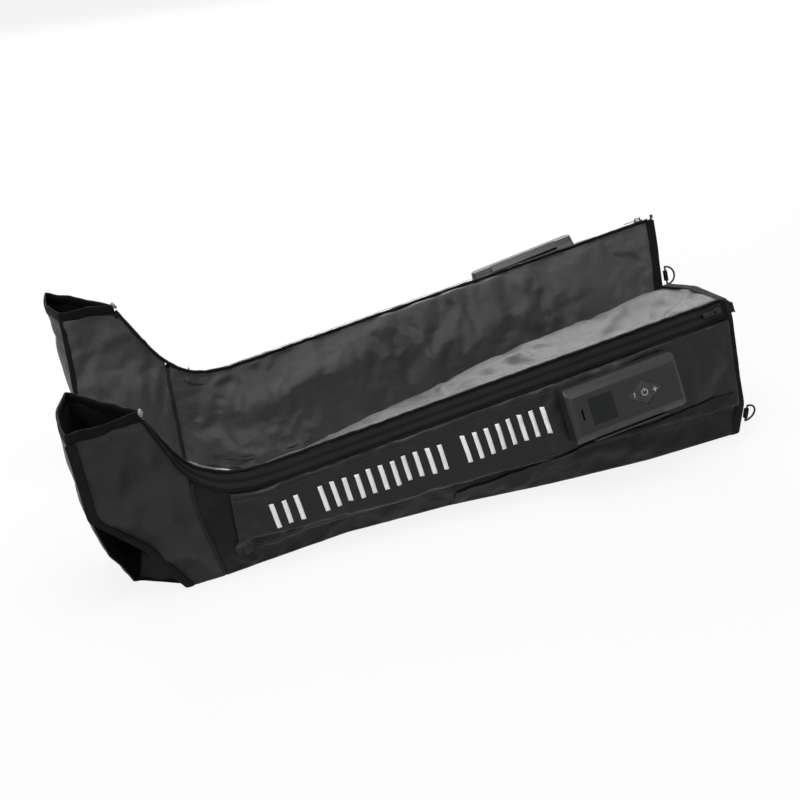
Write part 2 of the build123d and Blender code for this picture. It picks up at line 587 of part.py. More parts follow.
def nipple_places():
    return [(MOTOR_X - VALVE_LENGTH / 2 + PORT_PITCH * (k + 0.5), VALVE_Y) for k in range(3)]


def pump_dock():
    """The plate between pump and leg, with spare depth at its back to be fitted to the leg."""
    block = slab(DOCK_LENGTH, DOCK_WIDTH, -DOCK_DEPTH - DOCK_ROOT, 0)
    block = fillet(block.edges().filter_by(Axis.Z), PUMP_CORNER)
    for x, y in nipple_places():
        block -= rod(NIPPLE_RADIUS + NIPPLE_PLAY, -DOCK_SOCKET, 0, x, y)
    return block


def rear_shell():
    shell = housing(0) - housing(PUMP_WALL)
    shell = shell & slab(PUMP_LENGTH, PUMP_WIDTH, 0, PUMP_SPLIT)
    for x, y in screw_places():
        shell += rod(BOSS_RADIUS, PUMP_WALL / 2, PUMP_SPLIT, x, y) & slab(
            PUMP_LENGTH - PUMP_WALL, PUMP_WIDTH - PUMP_WALL, 0, PUMP_SPLIT)
        shell -= rod(SCREW_RADIUS + SCREW_PLAY, 0, PUMP_SPLIT, x, y)
        shell -= rod(SCREW_HEAD_RADIUS + NIPPLE_PLAY, 0, SCREW_HEAD_HEIGHT, x, y)
    for x, y in nipple_places():
        shell -= rod(NIPPLE_RADIUS + NIPPLE_PLAY, 0, PUMP_WALL, x, y)
    side = -PUMP_WIDTH / 2
    length, middle = STRAP_BAR_TO - STRAP_BAR_FROM, (STRAP_BAR_TO + STRAP_BAR_FROM) / 2
    shell += slab(length, STRAP_THICK, STRAP_LOW_Z, STRAP_HIGH_Z, middle,
                  side - STRAP_GAP - STRAP_THICK / 2)
    for x in (STRAP_BAR_FROM + STRAP_POST / 2, STRAP_BAR_MID, STRAP_BAR_TO - STRAP_POST / 2):
        shell += slab(STRAP_POST, STRAP_GAP + PUMP_WALL, STRAP_LOW_Z, PUMP_SPLIT, x,
                      side - STRAP_GAP / 2 + PUMP_WALL / 4)
    return shell


def front_shell():
    shell = housing(0) - housing(PUMP_WALL)
    shell = shell & slab(PUMP_LENGTH, PUMP_WIDTH, PUMP_SPLIT, PUMP_DEPTH)
    face = PUMP_DEPTH - PUMP_WALL
    shell -= slab(WINDOW_LENGTH + 2 * WINDOW_PLAY, WINDOW_HEIGHT + 2 * WINDOW_PLAY, face,
                  PUMP_DEPTH, WINDOW_X)
    shell -= slab(LAMP_SLOT_WIDTH, LAMP_SLOT_LENGTH, face, PUMP_DEPTH, LAMP_SLOT_X)
    shell -= Pos(KEYS_X, 0, face) * extrude(diamond(0), PUMP_WALL)
    port_z = BOARD_Z + BOARD_THICK
    shell -= slab(2 * PORT_LENGTH, PORT_WIDTH + 2 * PIECE_GAP, port_z - PIECE_GAP,
                  port_z + PORT_HEIGHT + PIECE_GAP, -PUMP_LENGTH / 2)
    for x, y in screw_places():
        boss = rod(BOSS_RADIUS, PUMP_SPLIT, PUMP_DEPTH - PUMP_BEVEL, x, y)
        shell += boss & housing(PUMP_WALL / 2)
        shell -= rod(SCREW_RADIUS + SCREW_PLAY, PUMP_SPLIT, SCREW_LENGTH + PIECE_GAP, x, y)
    return shell


def shell_screws():
    screws = []
    for x, y in screw_places():
        screws.append(rod(SCREW_HEAD_RADIUS, 0, SCREW_HEAD_HEIGHT, x, y)
                      + rod(SCREW_RADIUS, SCREW_HEAD_HEIGHT, SCREW_LENGTH, x, y))
    return screws


def display_window():
    top = PUMP_DEPTH - WINDOW_SINK
    pane = slab(WINDOW_LENGTH, WINDOW_HEIGHT, top - WINDOW_THICK, top, WINDOW_X)
    return fillet(pane.edges().filter_by(Axis.Z), WINDOW_CORNER)


def key(from_x, to_x):
    """One key of the diamond: top, retaining flange under the face, and stem to its switch."""
    face = PUMP_DEPTH - PUMP_WALL
    flange_top = face - PIECE_GAP
    cut = slab(to_x - from_x, 4 * KEYS_HEIGHT, -PUMP_DEPTH, 2 * PUMP_DEPTH, (from_x + to_x) / 2)
    cap = Pos(0, 0, flange_top) * extrude(diamond(-KEY_PLAY), PUMP_DEPTH - KEY_SINK - flange_top)
    flange = Pos(0, 0, flange_top - KEY_FLANGE_THICK) * extrude(diamond(KEY_FLANGE), KEY_FLANGE_THICK)
    stem_low = BOARD_Z + BOARD_THICK + SWITCH_HEIGHT + SWITCH_CLEAR + KEY_TRAVEL
    stem = rod(KEY_STEM, stem_low, flange_top - KEY_FLANGE_THICK, key_stem_x(from_x, to_x))
    return Pos(KEYS_X, 0, 0) * (((cap + flange) & cut) + stem)


def key_stem_x(from_x, to_x):
    """Over the middle of the key, or towards its wide end on the two outer keys."""
    if from_x < -KEY_SPLIT:
        return to_x - KEY_STEM_IN
    if to_x > KEY_SPLIT:
        return from_x + KEY_STEM_IN
    return 0.0


KEY_SPANS = {
    "minus_button": (-KEYS_LENGTH, -KEY_SPLIT - KEY_PLAY / 2),
    "power_button": (-KEY_SPLIT + KEY_PLAY / 2, KEY_SPLIT - KEY_PLAY / 2),
    "plus_button": (KEY_SPLIT + KEY_PLAY / 2, KEYS_LENGTH),
}


def circuit_board():
    """The board with its display module, key switches and charging socket soldered on."""
    top = BOARD_Z + BOARD_THICK
    length = PUMP_LENGTH - 2 * (PUMP_WALL + BOARD_END_GAP)
    width = PUMP_WIDTH - 2 * (PUMP_WALL + BOARD_SIDE_GAP)
    board = slab(length, width, BOARD_Z, top)
    board += slab(WINDOW_LENGTH - 2 * DISPLAY_EDGE, WINDOW_HEIGHT - 2 * DISPLAY_EDGE, top,
                  PUMP_DEPTH - PUMP_WALL - WINDOW_SINK, WINDOW_X)
    for span in KEY_SPANS.values():
        board += slab(SWITCH_SIZE, SWITCH_SIZE, top, top + SWITCH_HEIGHT,
                      KEYS_X + key_stem_x(*span))
    port_x = -PUMP_LENGTH / 2 + PORT_LENGTH / 2 + PIECE_GAP
    board += slab(PORT_LENGTH, PORT_WIDTH, top, top + PORT_HEIGHT, port_x)
    board += slab(PORT_LENGTH - length / 2 - port_x, 2 * PORT_WIDTH, BOARD_Z, top,
                  (port_x - length / 2 + PORT_LENGTH) / 2)
    return board


def battery_pack():
    """Two round cells side by side in a shrink wrap."""
    z = PUMP_WALL + PIECE_GAP + CELL_RADIUS
    cells = [Pos(CELL_X, y, z) * Rot(0, 90, 0) * Cylinder(CELL_RADIUS, CELL_LENGTH)
             for y in (-CELL_Y, CELL_Y)]
    web = slab(CELL_LENGTH, 2 * CELL_Y, z - CELL_RADIUS, z + CELL_RADIUS, CELL_X)
    return cells[0] + cells[1] + web


def motor_z():
    return PUMP_WALL + PIECE_GAP + MOTOR_RADIUS


def air_pump():
    """Motor, its pump head round the eccentric, and the valve block with the air outlets."""
    z = motor_z()
    body = Pos(MOTOR_X, MOTOR_Y, z) * Rot(0, 90, 0) * Cylinder(MOTOR_RADIUS, MOTOR_LENGTH)
    head_x = MOTOR_X - MOTOR_LENGTH / 2 - HEAD_LENGTH / 2
    low, high = PUMP_WALL + PIECE_GAP, z + MOTOR_RADIUS
    head = slab(HEAD_LENGTH, HEAD_WIDTH, low, high, head_x, MOTOR_Y)
    head -= slab(HEAD_LENGTH - 2 * HEAD_WALL, HEAD_WIDTH - 2 * HEAD_WALL, low + HEAD_WALL / 2,
                 high - HEAD_WALL / 2, head_x, MOTOR_Y)
    bore = Pos(head_x + HEAD_LENGTH / 2, MOTOR_Y, z) * Rot(0, 90, 0) \
        * Cylinder(SHAFT_RADIUS + SHAFT_PLAY, 4 * HEAD_WALL)
    valve_x = MOTOR_X
    valve = slab(VALVE_LENGTH, VALVE_WIDTH, low, low + VALVE_HEIGHT, valve_x, VALVE_Y)
    head_side, valve_side = MOTOR_Y - HEAD_WIDTH / 2, VALVE_Y + VALVE_WIDTH / 2
    duct = slab(2 * HEAD_WALL, head_side - valve_side + 2 * DUCT_ROOT, low, low + VALVE_HEIGHT / 2,
                valve_x - VALVE_LENGTH / 2 + HEAD_WALL, (head_side + valve_side) / 2)
    unit = body + head - bore + valve + duct
    for x, y in nipple_places():
        unit += rod(NIPPLE_RADIUS, -NIPPLE_REACH, low + DUCT_ROOT, x, y)
    return unit


def drive_eccentric():
    """The motor's shaft end with its off-centre crank disc."""
    z = motor_z()
    head_x = MOTOR_X - MOTOR_LENGTH / 2 - HEAD_LENGTH / 2
    shaft_from, shaft_to = head_x - ECCENTRIC_THICK / 2, head_x + HEAD_LENGTH / 2 + HEAD_WALL
    shaft = Pos((shaft_from + shaft_to) / 2, MOTOR_Y, z) * Rot(0, 90, 0) \
        * Cylinder(SHAFT_RADIUS, shaft_to - shaft_from)
    disc = Pos(head_x, MOTOR_Y, z + ECCENTRIC_THROW) * Rot(0, 90, 0) \
        * Cylinder(ECCENTRIC_RADIUS, ECCENTRIC_THICK)
    return shaft + disc


# ---- One boot ----------------------------------------------------------------------------
def boot_nodes(boot, flip_pump):
    """Every piece of one boot, in the boot's own frame."""
    tapes = zipper_tapes(boot)
    seat = pump_plane(boot)

    def seated(piece):
        piece = mirror(piece, about=Plane.XZ) if flip_pump else piece
        return seat.location * piece

    dock = seated(pump_dock()) - envelope(boot)
    window = seated(slab(DOCK_LENGTH + 2 * DOCK_PLAY, DOCK_WIDTH + 2 * DOCK_PLAY,
                         -DOCK_DEPTH - DOCK_ROOT, DOCK_DEPTH))
    holes = stub_holes(boot)
    outer_panel = outer_leg_panel(boot)
    chambers = air_chambers(boot)
    for hole in holes:
        outer_panel = outer_panel - hole
    chambers = [cut_all(chamber, holes) for chamber in chambers]
    outer_foot = cut_all(outer_foot_panel(boot), tapes)
    binding = thigh_binding(boot)
    slider, pull = slider_pieces()
    slider_seat = zip_frame(boot, RIM_X - SLIDER_FROM_RIM).location
    nodes = {
        "outer_leg_panel": outer_panel,
        "hose_panel": hose_panel(boot) - window,
        "inner_leg_panel": inner_leg_panel(boot),
        "calf_panel": calf_panel(boot),
        "outer_foot_panel": outer_foot,
        "inner_foot_panel": cut_all(inner_foot_panel(boot), [*tapes, outer_foot]),
        "sole_panel": sole_panel(boot),
        "heel_flap": heel_flap(boot),
        "toe_binding": toe_binding(boot),
        "thigh_binding": binding,
        "zipper_tapes": tapes,
        "zipper_slider": slider_seat * slider,
        "zipper_pull": slider_seat * pull,
        "ring_tabs": [ring_frame(boot, side) * ring_tab() - binding for side in (False, True)],
        "outer_ring": ring_frame(boot, False) * ring_piece(),
        "inner_ring": ring_frame(boot, True) * ring_piece(),
        "air_chambers": chambers,
        "air_hoses": air_hoses(boot),
        "pump_dock": dock,
        "rear_shell": seated(rear_shell()),
        "front_shell": seated(front_shell()),
        "shell_screws": [seated(screw) for screw in shell_screws()],
        "display_window": seated(display_window()),
        "circuit_board": seated(circuit_board()),
        "battery_pack": seated(battery_pack()),
        "air_pump": seated(air_pump()),
        "drive_eccentric": seated(drive_eccentric()),
    }
    for name, span in KEY_SPANS.items():
        nodes[name] = seated(key(*span))
    return nodes


def cut_all(piece, cutters):
    for cutter in cutters:
        piece = piece - cutter
    return piece


def solids_of(piece):
    pieces = piece if isinstance(piece, list) else [piece]
    return [solid for p in pieces for solid in p.solids()]


def lay_down(piece, right):
    """From the boot's own frame to its place in the pair."""
    solids = solids_of(piece)
    turn = Pos(0, -BOOT_SPACING / 2, 0) * Rot(0, 0, SPLAY)
    placed = Compound([turn * solid for solid in solids])
    if right:
        placed = Pos(RIGHT_STAGGER, 0, 0) * mirror(placed, about=Plane.XZ)
    return placed


def pair():
    """All nodes of both boots, with the origin under the middle of their common box."""
    nodes = {}
    for side, lay in (("left", LEFT_LAY), ("right", RIGHT_LAY)):
        right = side == "right"
        for name, piece in boot_nodes(Boot(lay), right).items():
            nodes[f"{side}_{name}"] = lay_down(piece, right)
    box = Compound(list(nodes.values())).bounding_box()
    shift = Vector(-(box.min.X + box.max.X) / 2, -(box.min.Y + box.max.Y) / 2, -box.min.Z)
    return {name: Pos(*shift) * piece for name, piece in nodes.items()}, shift


if __name__ == "__main__":
    os.makedirs("parts", exist_ok=True)
    parts, origin_shift = pair()
    for name, piece in parts.items():
        export_step(piece, f"parts/{name}.step")
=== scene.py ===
import json
import math
import random
import bmesh
import bpy
from mathutils import Matrix, Vector, noise
from mathutils.bvhtree import BVHTree


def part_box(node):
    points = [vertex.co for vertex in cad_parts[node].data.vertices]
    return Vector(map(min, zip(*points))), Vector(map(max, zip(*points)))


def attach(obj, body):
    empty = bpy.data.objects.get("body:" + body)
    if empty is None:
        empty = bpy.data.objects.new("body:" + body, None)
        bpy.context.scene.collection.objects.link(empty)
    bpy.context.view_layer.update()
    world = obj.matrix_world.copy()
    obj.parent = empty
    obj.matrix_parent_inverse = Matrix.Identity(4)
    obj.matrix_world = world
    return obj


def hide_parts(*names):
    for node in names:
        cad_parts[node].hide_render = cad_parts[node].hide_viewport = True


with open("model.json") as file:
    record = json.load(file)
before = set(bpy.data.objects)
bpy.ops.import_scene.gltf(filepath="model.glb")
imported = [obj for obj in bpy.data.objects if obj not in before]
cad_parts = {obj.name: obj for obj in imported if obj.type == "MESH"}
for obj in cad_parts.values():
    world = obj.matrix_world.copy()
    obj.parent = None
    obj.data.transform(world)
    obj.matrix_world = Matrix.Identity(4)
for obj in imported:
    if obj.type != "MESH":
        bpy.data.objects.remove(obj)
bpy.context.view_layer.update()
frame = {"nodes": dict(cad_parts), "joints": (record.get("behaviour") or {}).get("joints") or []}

# ---- Camera ------------------------------------------------------------------------------
# It looks down on the pair from the left boot's outer side, turned a little about its own
# line of sight.
CAMERA_AZIMUTH = math.radians(-15.5)
CAMERA_ELEVATION = math.radians(30.6)
CAMERA_ROLL = math.radians(6.1)
CAMERA_DISTANCE = 2.15
CAMERA_LENS = 64.35
LOOK_AT = Vector((-0.00815, 0.02985, 0.065))

back = Vector((math.sin(CAMERA_AZIMUTH) * math.cos(CAMERA_ELEVATION),
               -math.cos(CAMERA_AZIMUTH) * math.cos(CAMERA_ELEVATION),
               math.sin(CAMERA_ELEVATION)))
level = Vector((math.cos(CAMERA_AZIMUTH), math.sin(CAMERA_AZIMUTH), 0))
upright = back.cross(level)
right = level * math.cos(CAMERA_ROLL) - upright * math.sin(CAMERA_ROLL)
up = level * math.sin(CAMERA_ROLL) + upright * math.cos(CAMERA_ROLL)
camera = bpy.data.objects.new("camera", bpy.data.cameras.new("camera"))
camera.data.lens = CAMERA_LENS
camera.data.sensor_width = 36
camera.matrix_world = Matrix.Translation(LOOK_AT + back * CAMERA_DISTANCE) \
    @ Matrix((right, up, back)).transposed().to_4x4()
bpy.context.scene.collection.objects.link(camera)
bpy.context.scene.camera = camera


# ---- Floor, background and lights ----------------------------------------------------------
# A plain pale floor that keeps the shadow, under soft studio lamps.  The class that wraps a
# socket is here too, so that sums of sockets add the material's nodes.
class Socket:
    """One output of a material's nodes.  Arithmetic on it adds Math nodes."""

    def __init__(self, tree, socket):
        self.tree, self.socket = tree, socket

    def node(self, kind, settings=None, inputs=None, output=0):
        """Adds a node: its type, its settings first, then its sockets' values or links."""
        made = self.tree.nodes.new("ShaderNode" + kind)
        for key, value in (settings or {}).items():
            setattr(made, key, value)
        for key, value in (inputs or {}).items():
            if isinstance(value, Socket):
                self.tree.links.new(value.socket, made.inputs[key])
            else:
                made.inputs[key].default_value = value
        return Socket(self.tree, made.outputs[output])

    def maths(self, operation, *others):
        return self.node("Math", {"operation": operation}, dict(enumerate((self, *others))))

    def __add__(self, other):
        return self.maths("ADD", other)

    def __sub__(self, other):
        return self.maths("SUBTRACT", other)

    def __mul__(self, other):
        return self.maths("MULTIPLY", other)

    def __mod__(self, other):
        return self.maths("FLOORED_MODULO", other)

    def __pow__(self, other):
        return self.maths("POWER", other)

    def __rsub__(self, other):
        return self * -1.0 + other

    __radd__, __rmul__ = __add__, __mul__


class Finish:
    """A material with one Principled shader, fed from the piece's own coordinates or UV map."""

    def __init__(self, name, colour, roughness, **fixed):
        self.material = bpy.data.materials.new(name)
        self.material.use_nodes = True
        self.tree = self.material.node_tree
        self.shader = self.tree.nodes["Principled BSDF"]
        self.shader.inputs["Base Color"].default_value = (*colour, 1)
        self.shader.inputs["Roughness"].default_value = roughness
        for key, value in fixed.items():
            self.shader.inputs[key.replace("_", " ")].default_value = value
        coordinates = self.tree.nodes.new("ShaderNodeTexCoord")
        self.place = Socket(self.tree, coordinates.outputs["Object"])
        self.cloth = Socket(self.tree, coordinates.outputs["UV"])

    def split(self, source):
        """The x and y of a place or of a UV map."""
        return [source.node("SeparateXYZ", None, {0: source}, index) for index in (0, 1)]

    def noise(self, source, scale, detail=2.0, rough=0.5):
        return source.node("TexNoise", None, {"Vector": source, "Scale": scale,
                                              "Detail": detail, "Roughness": rough})

    def colour(self, factor, dark, light):
        mixed = factor.node("Mix", {"data_type": "RGBA"},
                            {0: factor, 6: (*dark, 1), 7: (*light, 1)}, 2)
        self.tree.links.new(mixed.socket, self.shader.inputs["Base Color"])

    def rough(self, factor, low, high):
        value = factor.node("MapRange", None, {0: factor, 3: low, 4: high})
        self.tree.links.new(value.socket, self.shader.inputs["Roughness"])

    def bump(self, height, distance, strength=1.0):
        bumped = height.node("Bump", None, {"Height": height, "Distance": distance,
                                            "Strength": strength})
        self.tree.links.new(bumped.socket, self.shader.inputs["Normal"])

    def worn(self, scale, low, high, detail=2.0):
        """Roughness that wanders between two values."""
        self.rough(self.noise(self.place, scale, detail), low, high)

    def grained(self, scale, distance):
        self.bump(self.noise(self.place, scale), distance)


def opened(mesh):
    """A mesh as a form that bmesh operators work on."""
    form = bmesh.new()
    form.from_mesh(mesh)
    return form


def closed(form, mesh):
    form.to_mesh(mesh)
    form.free()


def made(name, form):
    """Ends a form as a piece in the scene."""
    piece = bpy.data.objects.new(name, bpy.data.meshes.new(name))
    closed(form, piece.data)
    bpy.context.scene.collection.objects.link(piece)
    return piece


FLOOR_SIZE = 14.0
FLOOR_DROP = 0.0005
FLOOR_GLOW = 0.85
form = bmesh.new()
bmesh.ops.create_grid(form, x_segments=1, y_segments=1, size=FLOOR_SIZE / 2)
bmesh.ops.translate(form, verts=form.verts, vec=(0, 0, -FLOOR_DROP))
floor = made("floor", form)


def seen_directly(tree):
    """1 for what the camera sees, itself or through glass or in a polished surface, else 0."""
    ray = tree.nodes.new("ShaderNodeLightPath")
    camera_ray, glossy, through = [Socket(tree, ray.outputs[name]) for name in (
        "Is Camera Ray", "Is Glossy Ray", "Is Transmission Ray")]
    return camera_ray.maths("MAXIMUM", glossy).maths("MAXIMUM", through)


paper = Finish("white_paper", (0.8, 0.8, 0.8), 0.9)
paper.shader.inputs["Specular IOR Level"].default_value = 0.0
glow = paper.tree.nodes.new("ShaderNodeEmission")
both = paper.tree.nodes.new("ShaderNodeMixShader")
paper.tree.links.new((seen_directly(paper.tree) * FLOOR_GLOW).socket, both.inputs[0])
paper.tree.links.new(paper.shader.outputs[0], both.inputs[1])
paper.tree.links.new(glow.outputs[0], both.inputs[2])
paper.tree.links.new(both.outputs[0], paper.tree.nodes["Material Output"].inputs["Surface"])
floor.data.materials.append(paper.material)

SKY_LEVEL = 0.30
world = bpy.data.worlds.new("studio")
bpy.context.scene.world = world
world.use_nodes = True
sky = world.node_tree.nodes["Background"]
sky.inputs["Color"].default_value = (1, 1, 1, 1)
sky_seen = seen_directly(world.node_tree)
sky_strength = sky_seen.node("MapRange", None, {0: sky_seen, 3: SKY_LEVEL, 4: 1.0})
world.node_tree.links.new(sky_strength.socket, sky.inputs["Strength"])

# name, middle, what it points at, size across and up, watts
LAMPS = [
    ("back_softbox", (0.5, 2.4, 0.95), (0.1, 0, 0.1), (3.4, 1.3), 60),
    ("top_softbox", (-0.2, -0.3, 2.6), (0, 0, 0), (2.0, 1.6), 50),
    ("front_softbox", (-1.8, -2.2, 1.2), (0, 0, 0.1), (1.6, 1.6), 22),
]
for name, middle, aim, size, watts in LAMPS:
    lamp = bpy.data.lights.new(name, "AREA")
    lamp.shape = "RECTANGLE"
    lamp.size, lamp.size_y = size
    lamp.energy = watts
    holder = bpy.data.objects.new(name, lamp)
    holder.location = middle
    holder.visible_camera = False
    holder.rotation_euler = (Vector(aim) - Vector(middle)).to_track_quat("-Z", "Y").to_euler()
    bpy.context.scene.collection.objects.link(holder)

bpy.context.scene.view_settings.view_transform = "Standard"


# ---- Leg panels --------------------------------------------------------------------------
# Each leg is a sleeve of four cloth panels with thin foam behind them, sewn edge to edge:
# outer side, inner side with the crown, the calf side that it lies on, and the zip between.
# Each panel is read off its plain solid as rows of points, then settled as cloth.
SIDES = ("left", "right")
HEELS = {"left": Vector((-0.46015, -0.14315, 0)), "right": Vector((-0.42515, 0.16685, 0))}
SPLAY = math.radians(3.1)      # each boot's axis turns in by this towards the thighs
SEAM_X, RIM_X = 0.095, 0.890   # the leg panels' two ends along the boot's axis
SLANT_FROM, RIM_SLANT = 0.750, 0.12
ZIP_AT_RIM = {"left": -0.0645, "right": -0.026}     # the rim leans back from here, inwards
LEG_STEP = 0.0065              # from row to row
EDGE = 0.0004                  # rows stop this far inside a panel's end
RAYS, HALVINGS = 90, 12        # to find a panel across, and then to find its very edge
RAY_REACH = 0.30
CLOTH_THICK = 0.0026


def grown(mesh):
    """A tree of a mesh's faces, for rays to meet."""
    form = opened(mesh)
    tree = BVHTree.FromBMesh(form)
    form.free()
    return tree


class Lay:
    """How a boot lies: x from heel to thigh, y from its outer to its inner side, z up."""

    def __init__(self, side):
        flip = 1 if side == "left" else -1
        self.side, self.body = side, side + "_boot"
        self.heel = HEELS[side]
        self.along = Vector((math.cos(SPLAY), flip * math.sin(SPLAY), 0))
        self.inner = Vector((-math.sin(SPLAY), flip * math.cos(SPLAY), 0))
        self.trees = {}

    def point(self, x, y, z):
        return self.heel + self.along * x + self.inner * y + Vector((0, 0, z))

    def local(self, point):
        away = point - self.heel
        return away.dot(self.along), away.dot(self.inner), away.z

    def x_of(self, point):
        return self.local(point)[0]

    def core(self, height=0.06, back=0.0):
        """For a point on the boot, the point beside it on a line inside."""
        return lambda p: self.point(self.x_of(p) - back, 0.0, height)

    def hit(self, node, start, aim, reach):
        """Where a ray first meets one CAD node, or None."""
        if node not in self.trees:
            self.trees[node] = grown(frame["nodes"][f"{self.side}_{node}"].data)
        return self.trees[node].ray_cast(start, aim, reach)[0]

    def row(self, node, ray, low, high, columns):
        """Points across a node, evenly spaced, where rays given by ray(t) meet it."""
        def meets(t):
            return self.hit(node, *ray(t))

        places = [low + (high - low) * i / RAYS for i in range(RAYS + 1)]
        found = [t for t in places if meets(t) is not None]
        if len(found) < 2:
            return None
        step = (high - low) / RAYS
        ends = []
        for inside, outside in ((found[0], found[0] - step), (found[-1], found[-1] + step)):
            for _ in range(HALVINGS):
                middle = (inside + outside) / 2
                inside, outside = (middle, outside) if meets(middle) else (inside, middle)
            ends.append(inside)
        points = [meets(t) for t in [ends[0], *found, ends[1]]]
        return evenly(points, columns)


def length_of(points):
    return sum((b - a).length for a, b in zip(points, points[1:]))


def evenly(points, count):
    """Points at equal distances along a line of points."""
    travelled = [0.0]
    for a, b in zip(points, points[1:]):
        travelled.append(travelled[-1] + (b - a).length)
    spaced, k = [], 0
    for i in range(count + 1):
        aim = travelled[-1] * i / count
        while k < len(points) - 2 and travelled[k + 1] < aim:
            k += 1
        span = travelled[k + 1] - travelled[k]
        spaced.append(points[k].lerp(points[k + 1], (aim - travelled[k]) / span if span else 0))
    return spaced


def leg_ray(boot, x, middle_y, middle_z, zip_y):
    """Rays that look inwards at a leg from all round one cut across it."""
    slant = RIM_SLANT * max(0.0, (x - SLANT_FROM) / (RIM_X - SLANT_FROM))

    def ray(turn):
        y, z = math.cos(turn), math.sin(turn)
        middle = boot.point(x - slant * (middle_y - zip_y), middle_y, middle_z)
        out = boot.along * (-slant * y) + boot.inner * y + Vector((0, 0, z))
        return middle + out * RAY_REACH, -out, RAY_REACH * out.length * 0.999
    return ray


def leg_rows(boot, node, low, high, columns, from_x=SEAM_X):
    """Rows of points over one leg panel, from the foot's seam to the thigh rim."""
    count = round((RIM_X - from_x) / LEG_STEP)
    rows = []
    for i in range(count + 1):
        x = from_x + EDGE + (RIM_X - from_x - 2 * EDGE) * i / count
        share = (x - SEAM_X) / (RIM_X - SEAM_X)
        ray = leg_ray(boot, x, -0.004, 0.055 + 0.03 * share, ZIP_AT_RIM[boot.side])
        row = boot.row(node, ray, math.radians(low), math.radians(high), columns)
        if row:
            rows.append(row)
    return rows


grid_columns = {}              # how many cells each cloth has across


def cloth_from_rows(name, rows):
    """A sheet of square cells laid on the rows, with a UV map in metres of cloth."""
    columns = grid_columns[name] = len(rows[0]) - 1
    form = bmesh.new()
    bmesh.ops.create_grid(form, x_segments=columns, y_segments=len(rows) - 1, size=0.5,
                          calc_uvs=True)
    form.verts.ensure_lookup_table()
    flat = [p for row in rows for p in row]
    for vert, place in zip(form.verts, flat):
        vert.co = place
    down = [0.0]
    middle = columns // 2
    for a, b in zip(rows, rows[1:]):
        down.append(down[-1] + (b[middle] - a[middle]).length)
    widths = [length_of(row) for row in rows]
    uv = form.loops.layers.uv.verify()
    for face in form.faces:
        for loop in face.loops:
            i, j = divmod(loop.vert.index, columns + 1)
            loop[uv].uv = (down[i], widths[i] * (j / columns - 0.5))
    return made(name, form)


LEG_MIDDLE_Z = 0.07


def outermost(boot, a, b):
    """Of two points where neighbouring panels meet, the one on the outside."""
    def depth(p):
        _, y, z = boot.local(p)
        return math.hypot(y, z - LEG_MIDDLE_Z)
    return a if depth(a) >= depth(b) else b


WAVES, SETTLE_STEPS = 0.0018, 20


def settle(piece, swell, pressure, rise, sink, held=()):
    """Lets a panel settle as cloth that is a little larger than its outline, sewn at its rim.

    It may rise and sink no further than this from where it was."""
    mesh = piece.data
    form = opened(mesh)
    for vert in form.verts:
        if not vert.is_boundary:
            waves = noise.noise(vert.co * 23.0) + 0.5 * noise.noise(vert.co * 61.0)
            vert.co += vert.normal * waves * WAVES
    sewn = [v.index for v in form.verts if v.is_boundary]
    closed(form, mesh)
    start = [(v.co.copy(), v.normal.copy()) for v in mesh.vertices]
    group = piece.vertex_groups.new(name="sewn")
    group.add(sewn, 1.0, "REPLACE")
    if held:
        group.add(list(held), 1.0, "REPLACE")
    cloth = piece.modifiers.new("cloth", "CLOTH")
    for key, value in {
            "quality": 5, "mass": 0.25, "tension_stiffness": 20, "compression_stiffness": 20,
            "shear_stiffness": 8, "bending_stiffness": 0.35, "vertex_group_mass": "sewn",
            "shrink_min": -swell, "use_pressure": True,
            "uniform_pressure_force": pressure}.items():
        setattr(cloth.settings, key, value)
    cloth.settings.effector_weights.gravity = 0
    cloth.collision_settings.use_collision = False
    cloth.collision_settings.use_self_collision = False
    scene = bpy.context.scene
    for step in range(1, SETTLE_STEPS + 1):
        scene.frame_set(step)
    settled = piece.evaluated_get(bpy.context.evaluated_depsgraph_get()).data
    moved = [v.co.copy() for v in settled.vertices]
    piece.modifiers.remove(cloth)
    piece.vertex_groups.clear()
    scene.frame_set(1)
    for vert, (old, normal), new in zip(mesh.vertices, start, moved):
        lift = (new - old).dot(normal)
        slip = new - old - normal * lift
        vert.co = old + normal * max(-sink, min(rise, lift)) + slip.normalized() * min(
            slip.length, rise)


def outwards(piece, middle):
    """Turns a sheet's faces so that they look away from a line of middles."""
    mesh = piece.data
    total = sum((f.center - middle(f.center)).dot(f.normal) * f.area for f in mesh.polygons)
    if total < 0:
        mesh.flip_normals()


def soften(piece, rounds):
    """Rounds the corners between a panel's flat facets, with its rim kept."""
    form = opened(piece.data)
    inside = [v for v in form.verts if not v.is_boundary]
    for _ in range(rounds):
        bmesh.ops.smooth_vert(form, verts=inside, factor=0.5, use_axis_x=True,
                              use_axis_y=True, use_axis_z=True)
    closed(form, piece.data)


SEAM_CELLS = 4                 # cells beside a seam over which folds fade out


def from_seam(piece, vert):
    """0 at a panel's edge and 1 some cells away from it."""
    columns = grid_columns[piece.name]
    row, column = divmod(vert.index, columns + 1)
    rows = len(piece.data.vertices) // (columns + 1) - 1
    return min(1.0, min(column, columns - column, row, rows - row) / SEAM_CELLS)


def crease(piece, start, end, width, depth):
    """Presses a soft furrow, or with a negative depth a ridge, into a panel along a line."""
    line = end - start
    for vert in piece.data.vertices:
        along = max(0.0, min(1.0, (vert.co - start).dot(line) / line.length_squared))
        away = (vert.co - start - line * along).length
        if away < 3 * width:
            fade = math.sin(math.pi * min(1.0, max(0.0, 0.08 + 0.84 * along)))
            fade *= from_seam(piece, vert)
            vert.co -= vert.normal * depth * fade * math.exp(-(away / width) ** 2)


FOLD_STEP, BROAD_FOLD = 0.006, 0.015         # a fold wider than this lifts the whole cloth


